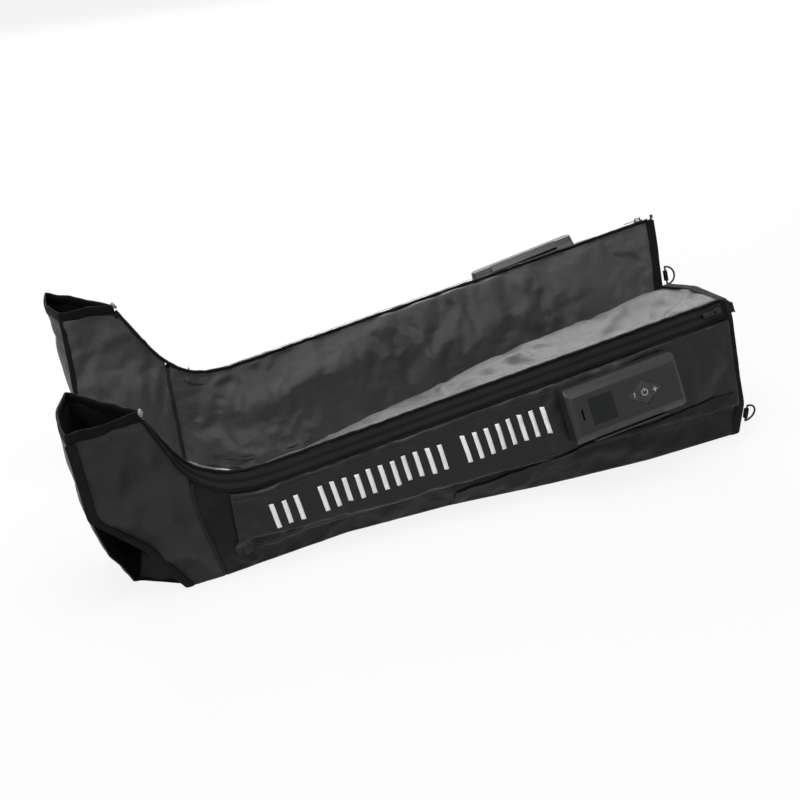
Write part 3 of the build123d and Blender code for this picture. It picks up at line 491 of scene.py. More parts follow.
def fold_along(boot, piece, points, width, depth):
    """One furrow or ridge through several points, given in millimetres from the heel."""
    places = [boot.point(*(c * 0.001 for c in point)) for point in points]
    line = evenly(places, max(1, round(length_of(places) / FOLD_STEP)))
    for vert in piece.data.vertices:
        away, at = min(((vert.co - p).length, i) for i, p in enumerate(line))
        if away < 3 * width:
            fade = math.sin(math.pi * min(0.97, max(0.03, at / (len(line) - 1)))) ** 0.5
            out = vert.co - boot.core(0.04)(vert.co)
            way = out.normalized() if width > BROAD_FOLD else vert.normal
            vert.co -= way * depth * fade * from_seam(piece, vert) * math.exp(
                -(away / width) ** 2)


def rumple(piece, seed, count, length, width, depth, along=None):
    """Lays chance furrows and ridges into a panel, mostly across one direction."""
    chance = random.Random(seed)
    verts = piece.data.vertices
    for i in range(count):
        start = verts[chance.randrange(len(verts))]
        way = Vector([chance.uniform(-1, 1) for _ in range(3)])
        if along:
            way -= along * way.dot(along) * 0.7
        way = (way - start.normal * way.dot(start.normal)).normalized()
        crease(piece, start.co.copy(), start.co + way * length * chance.uniform(0.6, 1.4),
               width * chance.uniform(0.7, 1.3), depth * chance.choice((-0.8, 1.0)))


FLOOR_GAP = 0.0004


def modified(piece, kind, name, **values):
    """Adds one modifier with its values."""
    modifier = piece.modifiers.new(name, kind)
    for key, value in values.items():
        setattr(modifier, key, value)


def dress(piece, finish, body, node=None, smooth=True, lining=None):
    """A piece's materials, its body, and the node that it stands for."""
    piece.data.materials.clear()
    for coat in (finish, lining) if lining else (finish,):
        piece.data.materials.append(coat.material)
    if smooth:
        piece.data.shade_smooth()
    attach(piece, body)
    if node:
        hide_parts(node)
    return piece


def finish_cloth(piece, finish, body, node, thick=CLOTH_THICK):
    """Gives a settled panel its thickness, its material and its body, and hides the node that it
    stands for.
    """
    for vert in piece.data.vertices:
        vert.co.z = max(vert.co.z, FLOOR_GAP)
    modified(piece, "SOLIDIFY", "thickness", thickness=thick, offset=-1.0, material_offset=1)
    modified(piece, "SUBSURF", "rounder", levels=1, render_levels=1)
    dress(piece, finish, body, node, lining=lining_mesh)


def weave(finish, cell, turn, relief, uneven=0.0):
    """Plain weave from crossing threads: warp on top in one cell, weft in the next."""
    across, down = finish.split(finish.cloth)
    u = (across * math.cos(turn) + down * math.sin(turn)) * (1 / cell)
    v = (down * math.cos(turn) - across * math.sin(turn)) * (1 / cell)
    over = (u.maths("FLOOR") + v.maths("FLOOR")) % 2.0
    warp = (u * math.pi).maths("SINE").maths("ABSOLUTE")
    weft = (v * math.pi).maths("SINE").maths("ABSOLUTE")
    height = warp * over + weft * (1 - over)
    if uneven:
        height = height + finish.noise(finish.place, 55.0) * (uneven / relief)
    finish.bump(height, relief)
    # some finishes also colour by this height: lighter thread crowns and painted shade in the
    # grooves
    return height


# The weave's tone follows its thread relief: lighter thread crowns, and painted shade in the
# grooves between the threads.
coarse_weave = Finish("coarse_weave", (0.007, 0.007, 0.0073), 0.55, Specular_IOR_Level=0.14)
threads = weave(coarse_weave, 0.0017, 0.0, 0.0005, 0.0012)
coarse_weave.colour(threads, (0.003, 0.003, 0.0031), (0.010, 0.010, 0.0104))
coarse_weave.worn(30.0, 0.45, 0.62)

satin = Finish("satin_nylon", (0.030, 0.030, 0.031), 0.34, Specular_IOR_Level=0.45)
weave(satin, 0.0011, 0.0, 0.0002, 0.0016)
satin.colour(satin.noise(satin.place, 9.0, 3.0), (0.022, 0.022, 0.0226), (0.032, 0.032, 0.0328))
satin.worn(26.0, 0.28, 0.42)

# The lining's tone follows the mesh relief: lighter threads, and painted shade in the openings
# between them.
lining_mesh = Finish("lining_mesh", (0.006, 0.006, 0.0062), 0.75, Specular_IOR_Level=0.12)
mesh_relief_and_shade = weave(lining_mesh, 0.0022, math.radians(45), 0.0005)
lining_mesh.colour(mesh_relief_and_shade, (0.002, 0.002, 0.002), (0.010, 0.010, 0.0103))

LEG_PANELS = {      # where each panel is looked for round the leg, and its columns
    "outer_leg_panel": (262, 80, 28),
    "zipper_tapes": (170, 50, 6),
    "inner_leg_panel": (150, -85, 54),
    "calf_panel": (-10, -170, 24),
}
LEG_FINISH = {"outer_leg_panel": coarse_weave, "inner_leg_panel": satin, "calf_panel": satin}
MOUTH_Z, HEEL_BEND_Z = 0.262, 0.140
FOOT_STEP = 0.0065
FOOT_REACH = 0.60


def foot_rows(boot, node, ray_at, low, high, columns):
    """Rows of points over one foot panel, from the floor to the toe mouth."""
    count = round(MOUTH_Z / FOOT_STEP)
    rows = []
    for i in range(count + 1):
        z = EDGE + (MOUTH_Z - 2 * EDGE) * i / count
        row = boot.row(node, lambda t: ray_at(boot, t, z), low, high, columns)
        if row:
            rows.append(row)
    return rows


def from_outside(boot, t, z):
    return boot.point(t, -FOOT_REACH / 2, z), boot.inner, FOOT_REACH


def from_inside(boot, t, z):
    return boot.point(t, FOOT_REACH / 2, z), -boot.inner, FOOT_REACH


def from_behind(boot, t, z):
    return boot.point(-FOOT_REACH / 2, t, z), boot.along, FOOT_REACH


FOOT_PANELS = {     # how each foot panel is looked at, from where to where, and its columns
    "outer_foot_panel": (from_outside, -0.08, 0.12, 22),
    "inner_foot_panel": (from_inside, -0.08, 0.12, 24),
    "sole_panel": (from_behind, -0.07, 0.07, 18),
}


def eased(points, rounds):
    """A line of points with its corners rounded; its ends stay."""
    for _ in range(rounds):
        points = [points[0], *[(a + b * 2 + c) / 4 for a, b, c in zip(points, points[1:],
                                                                      points[2:])], points[-1]]
    return points


def drag(row, end, point, reach=9):
    """Moves one end of a row to a point, and the cloth beside it less and less."""
    pull = point - row[end]
    for k, place in enumerate(row):
        away = k if end == 0 else len(row) - 1 - k
        row[k] = place + pull * max(0.0, 1 - away / reach) ** 2


def ease_in(share):
    share = max(0.0, min(1.0, share))
    return share * share * (3 - 2 * share)


# how the inner corner of each toe mouth is pushed in: towards the thigh, and across
MOUTH_PINCH = {"left": (0.020, 0.0), "right": (0.014, -0.036)}
PINCH_FROM_Z = 0.06
SOLE_BULGE = 0.010
HEEL_TUCK, HEEL_TUCK_Z = 0.047, 0.100        # the sole's outer edge is folded in at the heel
SEAM_SWEEP, SEAM_SWEEP_Z = 0.026, 0.150      # the foot's seam runs forward towards the floor
SWEEP_REACH = (0.025, 0.075)                 # and takes the foot's and the leg's cloth along
SEAM_LAP = 0.0028                            # how far the foot's cloth runs under the leg's
SPREAD = {"left": 0.0, "right": 0.018}       # how far the calf spreads on the floor
SPREAD_X, SPREAD_Z = (0.095, 0.300), 0.060
SOLE_OUT, SOLE_OUT_Z = (0.005, 0.011), 0.040     # the sole's foot stands out, outside and inside
ANKLE_ROUNDS = 30                            # of easing, at the zip's bend


def slump(boot, leg, foot):
    """Lets the foot and the ankle lie as an empty boot lies: pinched, folded in, swept."""
    forward, across = MOUTH_PINCH[boot.side]
    for sole, inner, outer in zip(foot["sole_panel"], foot["inner_foot_panel"],
                                  foot["outer_foot_panel"]):
        corner = boot.local(sole[-1])
        inner[0] = sole[-1] = boot.point(corner[0], boot.local(inner[0])[1], corner[2])
        if corner[2] > HEEL_BEND_Z:
            corner = boot.local(sole[0])
            outer[0] = sole[0] = boot.point(corner[0], boot.local(outer[0])[1], corner[2])
    for node in ("inner_foot_panel", "outer_foot_panel"):
        for row in foot[node]:
            if boot.x_of(row[-1]) > SEAM_X - 0.002:
                row[-1] = row[-1] + boot.along * SEAM_LAP
    for node in ("inner_leg_panel", "calf_panel"):
        for row in leg[node]:
            for k, place in enumerate(row):
                x, _, z = boot.local(place)
                share = (x - SPREAD_X[0]) / (SPREAD_X[1] - SPREAD_X[0])
                if 0 < share < 1:
                    push = SPREAD[boot.side] * math.sin(math.pi * share)
                    push *= max(0.0, 1 - z / SPREAD_Z)
                    if node == "calf_panel":
                        push *= 1 - k / (len(row) - 1)
                    row[k] = place + boot.inner * push
    for node in ("inner_foot_panel", "sole_panel"):
        for row in foot[node]:
            height = boot.local(row[0])[2]
            top = ease_in((height - PINCH_FROM_Z) / (MOUTH_Z - PINCH_FROM_Z))
            tuck = HEEL_TUCK * max(0.0, 1 - height / HEEL_TUCK_Z)
            for k, place in enumerate(row):
                share = k / (len(row) - 1)
                sole = node == "sole_panel"
                near = share if sole else 1 - share
                bulge = SOLE_BULGE * math.sin(math.pi * share) * top if sole else 0.0
                stand = max(0.0, 1 - height / SOLE_OUT_Z)
                if sole:
                    bulge += (SOLE_OUT[0] + (SOLE_OUT[1] - SOLE_OUT[0]) * share) * stand
                elif k == 0:
                    bulge = SOLE_OUT[1] * stand
                row[k] = (place + boot.along * (forward * near * top - bulge)
                          + boot.inner * (across * near * top
                                          + (tuck * (1 - share) if sole else 0.0)))
    for rows in (foot["outer_foot_panel"], leg["outer_leg_panel"]):
        for row in rows:
            for k, place in enumerate(row):
                x, _, z = boot.local(place)
                side_reach = SWEEP_REACH[x > SEAM_X]
                share = max(0.0, 1 - abs(x - SEAM_X) / side_reach)
                row[k] = place + boot.along * (SEAM_SWEEP * share
                                               * max(0.0, 1 - z / SEAM_SWEEP_Z) ** 1.3)


def round_zip_edges(leg, foot):
    """Rounds the ankle bend of the zip's two edges, and the edges of the panels along it."""
    low_corner, high_corner = leg["zipper_tapes"][0][0], leg["zipper_tapes"][0][-1]
    start = [row for row in foot["outer_foot_panel"] if row[-1].z > low_corner.z + FOOT_STEP / 2]
    foot["zipper_tapes"] = [[None, None] for _ in start]
    for end, leg_panel, leg_end, foot_panel, corner in (
            (0, "outer_leg_panel", -1, "outer_foot_panel", low_corner),
            (-1, "inner_leg_panel", 0, "inner_foot_panel", high_corner)):
        line = [row[end] for row in reversed(leg["zipper_tapes"])]
        joint = len(line)
        upper = foot[foot_panel][-len(start):]
        line += [row[-1] if row[-1].z > corner.z else corner for row in upper]
        beside = [row[-1].z > corner.z for row in upper]
        line = eased(line, ANKLE_ROUNDS)
        for row, tape, point in zip(reversed(leg[leg_panel]), reversed(leg["zipper_tapes"]), line):
            drag(row, leg_end, point)
            tape[end] = point
        for row, tape, point, follows in zip(upper, foot["zipper_tapes"], line[joint:], beside):
            if follows:
                drag(row, -1, point)
            tape[end] = point


# folds that lie in the leg panels: points in mm from the heel, then width and depth in metres;
# a depth below zero is a ridge
LEG_FOLDS = {
    ("right", "inner_leg_panel"): [
        ([(150, 50, 92), (200, 58, 74), (246, 56, 80), (299, 49, 98), (386, 40, 116)],
         0.024, -0.015),
        ([(380, 42, 112), (427, 21, 149), (501, 12, 163), (593, 9, 172), (700, 12, 170)],
         0.024, -0.013),
        ([(123, 54, 86), (112, 56, 50), (98, 55, 15)], 0.009, 0.009),
        ([(410, 30, 130), (404, 42, 108), (386, 62, 62)], 0.009, 0.008),
        ([(516, 35, 129), (480, 48, 100), (449, 58, 70)], 0.012, 0.006),
        ([(246, 52, 84), (254, 62, 60), (256, 84, 20)], 0.010, 0.008),
        ([(330, 34, 124), (300, 50, 96), (268, 66, 60)], 0.010, 0.005),
        ([(195, 34, 122), (170, 50, 90), (150, 66, 40)], 0.012, 0.007),
        ([(640, 10, 168), (630, 40, 120), (600, 60, 70)], 0.018, 0.006),
        ([(790, 8, 172), (800, 40, 110), (790, 62, 60)], 0.018, 0.005),
        ([(870, -8, 200), (850, 20, 150), (845, 50, 90)], 0.014, 0.005),
    ],
    ("left", "inner_leg_panel"): [
        ([(560, -36, 172), (535, -10, 168), (520, 20, 160)], 0.010, 0.004),
        ([(600, -38, 176), (578, -10, 173), (560, 24, 162)], 0.009, 0.0045),
        ([(650, -40, 182), (640, -5, 181), (600, 30, 165)], 0.011, 0.005),
        ([(735, -42, 191), (760, -10, 193), (800, 40, 185)], 0.012, 0.006),
        ([(785, -44, 197), (820, -10, 200), (860, 40, 190)], 0.011, 0.006),
        ([(830, -45, 203), (850, -15, 206), (880, 30, 200)], 0.010, 0.004),
        ([(470, -34, 166), (450, -10, 160), (430, 20, 150)], 0.010, 0.004),
    ],
    ("left", "outer_leg_panel"): [
        ([(112, -60, 118), (104, -64, 90), (120, -66, 50)], 0.008, 0.005),
        ([(130, -60, 120), (124, -66, 84), (136, -64, 40)], 0.008, 0.004),
        ([(690, -100, 60), (740, -104, 50), (815, -100, 30)], 0.016, 0.006),
        ([(640, -96, 50), (700, -100, 42), (760, -98, 18)], 0.014, -0.005),
        ([(800, -104, 60), (830, -100, 40), (850, -94, 14)], 0.012, 0.004),
    ],
}
RUMPLES = {     # chance furrows: how many, how long, how wide and how deep
    "inner_leg_panel": (46, 0.085, 0.011, 0.0030),
    "outer_leg_panel": (40, 0.050, 0.009, 0.0022),
    "inner_foot_panel": (16, 0.080, 0.010, 0.0034),
    "outer_foot_panel": (26, 0.060, 0.010, 0.0034),
    "sole_panel": (7, 0.060, 0.012, 0.0022),
}
SWELL = {"outer_leg_panel": 0.012, "inner_leg_panel": 0.02, "calf_panel": 0.004}
HELD_FROM = (0.15, 0.07)       # x and z from where the side panel holds the cloth under it
boots = {side: Lay(side) for side in SIDES}
leg_cuts, foot_cuts, leg_cloths = {}, {}, {side: {} for side in SIDES}
for side, boot in boots.items():
    rows = {node: leg_rows(boot, node, *spread) for node, spread in LEG_PANELS.items()}
    for a, b in zip(LEG_PANELS, [*list(LEG_PANELS)[1:], "outer_leg_panel"]):
        for near, far in zip(rows[a], rows[b]):
            shared = outermost(boot, near[-1], far[0])
            if a == "calf_panel":
                shared = boot.point(*boot.local(shared)[:2], 0.0)
            near[-1] = far[0] = shared
    leg_cuts[side] = rows
    foot_cuts[side] = {node: foot_rows(boot, node, *look)
                       for node, look in FOOT_PANELS.items()}
    round_zip_edges(rows, foot_cuts[side])
    slump(boot, rows, foot_cuts[side])
    for node, finish in LEG_FINISH.items():
        piece = cloth_from_rows(f"{side}_{node.replace('panel', 'cloth')}", rows[node])
        outwards(piece, boot.core())
        soften(piece, 14 if node != "calf_panel" else 2)
        under = [v.index for v in piece.data.vertices if node == "outer_leg_panel"
                 and boot.x_of(v.co) > HELD_FROM[0] and v.co.z > HELD_FROM[1]]
        rise, sink = (0.001, 0.0) if node == "calf_panel" else (0.008, 0.006)
        settle(piece, SWELL[node], 0.02, rise, sink, under)
        for fold in LEG_FOLDS.get((side, node), ()):
            fold_along(boot, piece, *fold)
        if node != "calf_panel":
            rumple(piece, side + node, *RUMPLES[node], along=boot.along)
        finish_cloth(piece, finish, boot.body, f"{side}_{node}")
        leg_cloths[side][node] = piece


# ---- Foot panels -------------------------------------------------------------------------
# The foot is cut from three pieces: a woven side panel outside, a satin one inside, and a
# smooth sole strip.  The heel's outer corner is left open, with its edge bound.
# The foot weave's tone follows its thread relief: lighter thread crowns, and painted shade in the
# grooves between the threads.
foot_weave = Finish("foot_weave", (0.014, 0.014, 0.0145), 0.5, Specular_IOR_Level=0.24)
threads = weave(foot_weave, 0.0013, math.radians(38), 0.0004, 0.0014)
foot_weave.colour(threads, (0.006, 0.0062, 0.0064), (0.017, 0.0175, 0.018))
foot_weave.worn(26.0, 0.42, 0.58)
sole_nylon = Finish("sole_nylon", (0.030, 0.030, 0.031), 0.5, Specular_IOR_Level=0.3)
weave(sole_nylon, 0.0011, 0.0, 0.0002, 0.0012)
sole_nylon.worn(26.0, 0.42, 0.56)
FOOT_FOLDS = {
    ("right", "inner_foot_panel"): [
        ([(-20, 54, 225), (0, 52, 180), (23, 50, 136)], 0.010, 0.006),
        ([(28, 37, 238), (20, 46, 190), (30, 50, 150)], 0.010, -0.005),
        ([(-10, 54, 175), (0, 52, 140), (20, 54, 95)], 0.010, 0.006),
        ([(90, 46, 128), (76, 52, 100), (55, 55, 70)], 0.009, 0.007),
        ([(57, 37, 165), (50, 46, 130), (60, 52, 90)], 0.010, -0.005),
    ],
    ("left", "outer_foot_panel"): [
        ([(50, -52, 238), (30, -56, 205), (22, -57, 160)], 0.012, 0.005),
        ([(66, -60, 140), (58, -60, 100), (70, -58, 50)], 0.012, -0.004),
        ([(60, -52, 235), (66, -56, 190), (80, -60, 150)], 0.010, 0.004),
        ([(85, -62, 160), (84, -63, 120), (92, -64, 80)], 0.010, 0.004),
        ([(40, -54, 236), (52, -58, 200), (70, -60, 165)], 0.011, -0.004),
    ],
}
FOOT_FINISH = {     # finish, slot, and how much larger than its outline the cloth is
    "outer_foot_panel": (foot_weave, "woven_shell", 0.015),
    "inner_foot_panel": (satin, "smooth_shell", 0.02),
    "sole_panel": (sole_nylon, "smooth_shell", 0.01),
}
for side, boot in boots.items():
    for node, (finish, slot, swell) in FOOT_FINISH.items():
        rows = foot_cuts[side][node]
        piece = cloth_from_rows(f"{side}_{node.replace('panel', 'cloth')}", rows)
        outwards(piece, lambda p, boot=boot: boot.point(0.04 - 0.1 * p.z, 0.0, p.z))
        soften(piece, 8)
        settle(piece, swell, 0.03, 0.007, 0.007)
        for fold in FOOT_FOLDS.get((side, node), ()):
            fold_along(boot, piece, *fold)
        rumple(piece, side + node, *RUMPLES[node])
        finish_cloth(piece, finish, boot.body, f"{side}_{node}")


# ---- Smooth side panel -------------------------------------------------------------------
# A channel of smooth nylon over the outer side covers the air hoses and carries the pump.  Its
# edges are turned in and stitched down.
HOSE_FROM, HOSE_COLUMNS = 0.142, 22
HOSE_FLOOR = 0.0064            # how far its turned-in foot edge goes down to the leg panel
smooth_nylon = Finish("smooth_nylon", (0.0055, 0.0055, 0.006), 0.36, Specular_IOR_Level=0.25)
smooth_nylon.bump(smooth_nylon.noise(smooth_nylon.place, 24.0, 4.0, 0.6), 0.004, 0.6)
smooth_nylon.worn(40.0, 0.3, 0.46)
SKIRT = [(0.142, 0.026), (0.25, 0.013), (0.45, 0.010), (0.62, 0.0), (0.90, 0.0)]
LOWER_PANEL_LIFT = 0.0016


def read(rows, at):
    """Straight-line reading of a value from rows (place, value)."""
    for (a, start), (b, end) in zip(rows, rows[1:]):
        if a <= at <= b:
            return start + (end - start) * (at - a) / (b - a)
    return rows[-1][1]


def run_at(line, k):
    """From the point before to the point after, in a line of points."""
    return line[min(k + 1, len(line) - 1)] - line[max(k - 1, 0)]


def out_at(boot, row, k):
    """The direction away from the boot at one point of a row that runs round it."""
    out = run_at(row, k).cross(boot.along).normalized()
    return out if out.dot(row[k] - boot.core()(row[k])) > 0 else -out


hose_cuts, hose_cloths = {}, {}
for side, boot in boots.items():
    rows = leg_rows(boot, "hose_panel", 262, 80, HOSE_COLUMNS, HOSE_FROM)
    for i, row in enumerate(rows):
        x = boot.x_of(row[0])
        extra = read(SKIRT, x)
        under = min(leg_cuts[side]["outer_leg_panel"], key=lambda r: abs(boot.x_of(r[0]) - x))
        near = min(range(len(under)), key=lambda k: (under[k] - row[0]).length)
        down = [p for k, p in enumerate(under[:near]) if (p - under[near]).length < extra]
        down = [p + out_at(boot, under, k) * LOWER_PANEL_LIFT for k, p in enumerate(down)]
        rows[i] = evenly([*down, *row], HOSE_COLUMNS)
    hose_cuts[side] = rows[:]
    sunk = [p - out_at(boot, rows[0], k) * HOSE_FLOOR for k, p in enumerate(rows[0])]
    rows.insert(0, sunk)
    piece = cloth_from_rows(f"{side}_hose_cloth", rows)
    outwards(piece, boot.core())
    settle(piece, 0.012, 0.02, 0.005, 0.002)
    rumple(piece, side + "hose", 80, 0.042, 0.0075, 0.0016, along=boot.along)
    finish_cloth(piece, smooth_nylon, boot.body, f"{side}_hose_panel",
                 thick=0.001)
    hose_cloths[side] = piece


# ---- Lower pocket --------------------------------------------------------------------------
# Under the pump a pocket of the woven cloth is sewn over the smooth panel's lower edge.  Its
# mouth, hemmed on the boot, is drawn plain and runs along the thigh below the pump.
POCKET_TOP = [(0.452, 0.034), (0.564, 0.052), (0.636, 0.072), (0.729, 0.078), (0.808, 0.084),
              (0.884, 0.083)]
POCKET_DEPTH, POCKET_LIFT, POCKET_ROWS, POCKET_COLUMNS = 0.036, 0.0022, 72, 7


def laid(boot, trees, x, z, lift):
    """A point on the outermost of some cloths, seen from the boot's outer side."""
    start = boot.point(x, -0.25, z)
    hits = [tree.ray_cast(start, boot.inner, 0.35) for tree in trees]
    near = min((hit[3], tuple(hit[0])) for hit in hits if hit[0] is not None)
    return Vector(near[1]) - boot.inner * lift


outer_trees = {}
for side, boot in boots.items():
    outer_trees[side] = [grown(cloth.data) for cloth in (
        hose_cloths[side], leg_cloths[side]["outer_leg_panel"])]
    rows = []
    for i in range(POCKET_ROWS + 1):
        x = POCKET_TOP[0][0] + (POCKET_TOP[-1][0] - POCKET_TOP[0][0]) * i / POCKET_ROWS
        top = read(POCKET_TOP, x)
        bottom = max(0.012, top - POCKET_DEPTH)
        rows.append([laid(boot, outer_trees[side], x, bottom + (top - bottom) * k / POCKET_COLUMNS,
                          POCKET_LIFT * (0.4 + k / POCKET_COLUMNS))
                     for k in range(POCKET_COLUMNS + 1)])
    pocket = cloth_from_rows(f"{side}_pocket_cloth", rows)
    outwards(pocket, boot.core())
    rumple(pocket, side + "pocket", 16, 0.035, 0.008, -0.0016)
    finish_cloth(pocket, coarse_weave, boot.body, None, thick=0.001)


# ---- Zip ---------------------------------------------------------------------------------
# A coil zip runs from the thigh rim down to the ankle and up the instep to the toe mouth.  It
# is two woven tapes, each with a row of nylon coil, and a gathered piping along both edges.
COIL_PITCH = 0.0030
COIL_SIZE, COIL_LIFT = (0.0014, 0.0036, 0.0012), 0.0010
PIPING_RADIUS = 0.0027
PIPING_RIB = 0.0045            # from rib to rib along the piping
# across the tapes: a share of their width, and how high they lie there
TAPE_LIFTS = [(-0.5, -0.0005), (-0.42, 0.0006), (-0.28, 0.0009), (-0.09, 0.0007), (0.0, 0.0002),
              (0.09, 0.0007), (0.28, 0.0009), (0.42, 0.0006), (0.5, -0.0005)]
TAPE_PULL, TAPE_STEP = 0.0006, 0.004


def turned(place, x_way, y_way, z_way):
    """A matrix that puts something at a place, turned to three directions."""
    return Matrix.Translation(place) @ Matrix((x_way, y_way, z_way)).transposed().to_4x4()


def block(form, matrix, size):
    bmesh.ops.create_cube(form, size=1.0, matrix=matrix @ Matrix.Diagonal((*size, 1)))


def lay_strip(name, rows, closed_across=False, closed_along=False):
    """A sheet over rows of points, joined up across or along where it meets itself."""
    if closed_along:
        rows = [*rows, rows[0]]
    if closed_across:
        rows = [[*row, row[0]] for row in rows]
    piece = cloth_from_rows(name, rows)
    form = opened(piece.data)
    bmesh.ops.remove_doubles(form, verts=form.verts, dist=1e-6)
    if closed_across and not closed_along:
        bmesh.ops.holes_fill(form, edges=[e for e in form.edges if e.is_boundary], sides=0)
    if closed_across:
        bmesh.ops.recalc_face_normals(form, faces=form.faces)
    closed(form, piece.data)
    return piece


def band(name, path, outs, profile, ripple=None):
    """Sweeps a closed outline along a path.  The outline is (sideways, outwards) from it."""
    rows = []
    for i, (point, out) in enumerate(zip(path, outs)):
        side = run_at(path, i).cross(out).normalized()
        grow = ripple(i) if ripple else 1.0
        rows.append([point + side * a * grow + out * (b * grow) for a, b in profile])
    return lay_strip(name, rows, closed_across=True)


def round_outline(radius, sides=8, flat=1.0):
    return [(radius * math.cos(2 * math.pi * k / sides),
             radius * flat * math.sin(2 * math.pi * k / sides)) for k in range(sides)]


def outs_of(path, across):
    """The direction away from the boot at each point of a path with a line across it."""
    return [run_at(path, i).cross(side).normalized() for i, side in enumerate(across)]


tape_cloth = Finish("zip_tape_cloth", (0.011, 0.011, 0.0113), 0.7, Specular_IOR_Level=0.2)
weave(tape_cloth, 0.0009, math.radians(45), 0.0003)
coil = Finish("zip_coil", (0.003, 0.003, 0.0031), 0.4, Specular_IOR_Level=0.15)
coil.worn(300.0, 0.25, 0.4)
piping_tape = Finish("piping_tape", (0.003, 0.003, 0.0031), 0.6, Specular_IOR_Level=0.12)
ribs = piping_tape.split(piping_tape.cloth)[0]
piping_tape.bump((ribs * (2 * math.pi / 0.0016)).maths("SINE"), 0.0003)

zip_paths = {}
for side, boot in boots.items():
    band_rows = [*reversed(leg_cuts[side]["zipper_tapes"]), *foot_cuts[side]["zipper_tapes"]]
    low_edge, high_edge = [row[0] for row in band_rows], [row[-1] for row in band_rows]
    steps = round(length_of(low_edge) / TAPE_STEP)
    low_edge, high_edge = evenly(low_edge, steps), evenly(high_edge, steps)
    middle = [(a + b) / 2 for a, b in zip(low_edge, high_edge)]
    across = [(b - a).normalized() for a, b in zip(low_edge, high_edge)]
    outs = outs_of(middle, across)
    if (middle[0] - boot.core(0.05)(middle[0])).dot(outs[0]) < 0:
        outs = [-out for out in outs]
    zip_paths[side] = (middle, across, outs, low_edge, high_edge)
    rows = []
    for m, a, b, out in zip(middle, low_edge, high_edge, outs):
        pull = noise.noise(m * 30.0) * TAPE_PULL
        rows.append([m + (b - a) * s + out * (h + pull) for s, h in TAPE_LIFTS])
    tapes = lay_strip(f"{side}_zip_tapes", rows)
    outwards(tapes, boot.core(0.08, 0.02))
    finish_cloth(tapes, tape_cloth, boot.body, f"{side}_zipper_tapes",
                 thick=0.0014)
    form = bmesh.new()
    fine = round(length_of(middle) / COIL_PITCH)
    line, hand = evenly(middle, fine), [across[min(len(across) - 1, i * len(across) // fine)]
                                        for i in range(fine + 1)]
    for i in range(1, fine):
        run = run_at(line, i).normalized()
        out = run.cross(hand[i]).normalized()
        out = out if out.dot(outs[min(len(outs) - 1, i * len(outs) // fine)]) > 0 else -out
        shift = COIL_SIZE[1] * 0.10 * (1 if i % 2 else -1)
        block(form, turned(line[i] + hand[i] * shift + out * COIL_LIFT,
                           run, out.cross(run), out), COIL_SIZE)
    dress(made(f"{side}_zip_coil", form), coil, boot.body, smooth=False)
    for edge_name, edge, inset in (("outer", low_edge, -0.0006), ("inner", high_edge, 0.0006)):
        path = [p + s * inset + out * (0.0012 + 0.0012 * noise.noise(p * 90.0))
                + s * 0.0010 * noise.noise(p * 70.0 + Vector((5, 5, 5)))
                for p, s, out in zip(edge, across, outs)]
        fine = round(length_of(path) / (PIPING_RIB / 3))
        line = evenly(path, fine)
        line_outs = [outs[min(len(outs) - 1, i * len(outs) // fine)] for i in range(fine + 1)]

        def rib(i):
            return (0.82 + 0.18 * math.cos(2 * math.pi * i / 3)
                    + 0.12 * noise.noise(Vector((i * 0.21, 0, 0))))
        cord = band(f"{side}_{edge_name}_zip_piping", line, line_outs,
                    round_outline(PIPING_RADIUS), ripple=rib)
        dress(cord, piping_tape, boot.body)


# ---- Bindings ----------------------------------------------------------------------------
# Woven tape is folded over each raw edge and sewn through: round the thigh rim, round the toe
# mouth, and along the open corner of the heel.
FOLD_OVER, FOLD_REACH = 0.0035, 0.0120      # how far the tape covers the cloth, and stands past it
FOLD_THICK, TAPE_THICK = 0.0022, 0.0012
TAB_SIZE, TAB_RISE = (0.011, 0.0045, 0.008), 0.010
binding_tape = Finish("binding_tape", (0.0032, 0.0032, 0.0033), 0.62, Specular_IOR_Level=0.1)
ribs = binding_tape.split(binding_tape.cloth)[0]
binding_tape.bump((ribs * (2 * math.pi / 0.0012)).maths("SINE")
                  + binding_tape.noise(binding_tape.place, 80.0) * 3.0, 0.0003)
binding_tape.worn(60.0, 0.52, 0.7)


def folded(over, reach, thick):
    """The outline of a tape folded over an edge: (past the edge, outwards)."""
    return [(-over, thick * 0.45), (reach * 0.55, thick * 0.55), (reach * 0.9, thick * 0.35),
            (reach, -thick * 0.35), (reach * 0.9, -thick * 1.25), (reach * 0.55, -thick * 1.6),
            (-over, -thick * 1.6), (-over - 0.0006, -thick * 0.5)]


def edge_tape(name, path, pasts, outline, boot, node=None, endless=True, wave=0.0005):
    """Tape over an edge.  pasts give the direction past the edge at each point."""
    rows = []
    for i, (point, past) in enumerate(zip(path, pasts)):
        before = path[i - 1] if i or endless else path[0]
        after = path[(i + 1) % len(path)] if i + 1 < len(path) or endless else path[-1]
        out = past.cross(after - before).normalized()
        pucker = wave * noise.noise(point * 70.0)
        dip = wave * 2.0 * noise.noise(point * 26.0 + Vector((3, 1, 2)))
        rows.append([point + past * (a + dip) + out * (b + pucker) for a, b in outline])
    piece = lay_strip(name, rows, closed_across=True, closed_along=endless)
    modified(piece, "SUBSURF", "rounder", levels=1, render_levels=1)
    dress(piece, binding_tape, boot.body, node)


def loop_of(parts):
    """One closed line from the rows that go round an edge, without their doubled ends."""
    loop = []
    for part in parts:
        for point in part[:-1]:
            if not loop or (point - loop[-1]).length > 0.002:
                loop.append(point)
    return loop


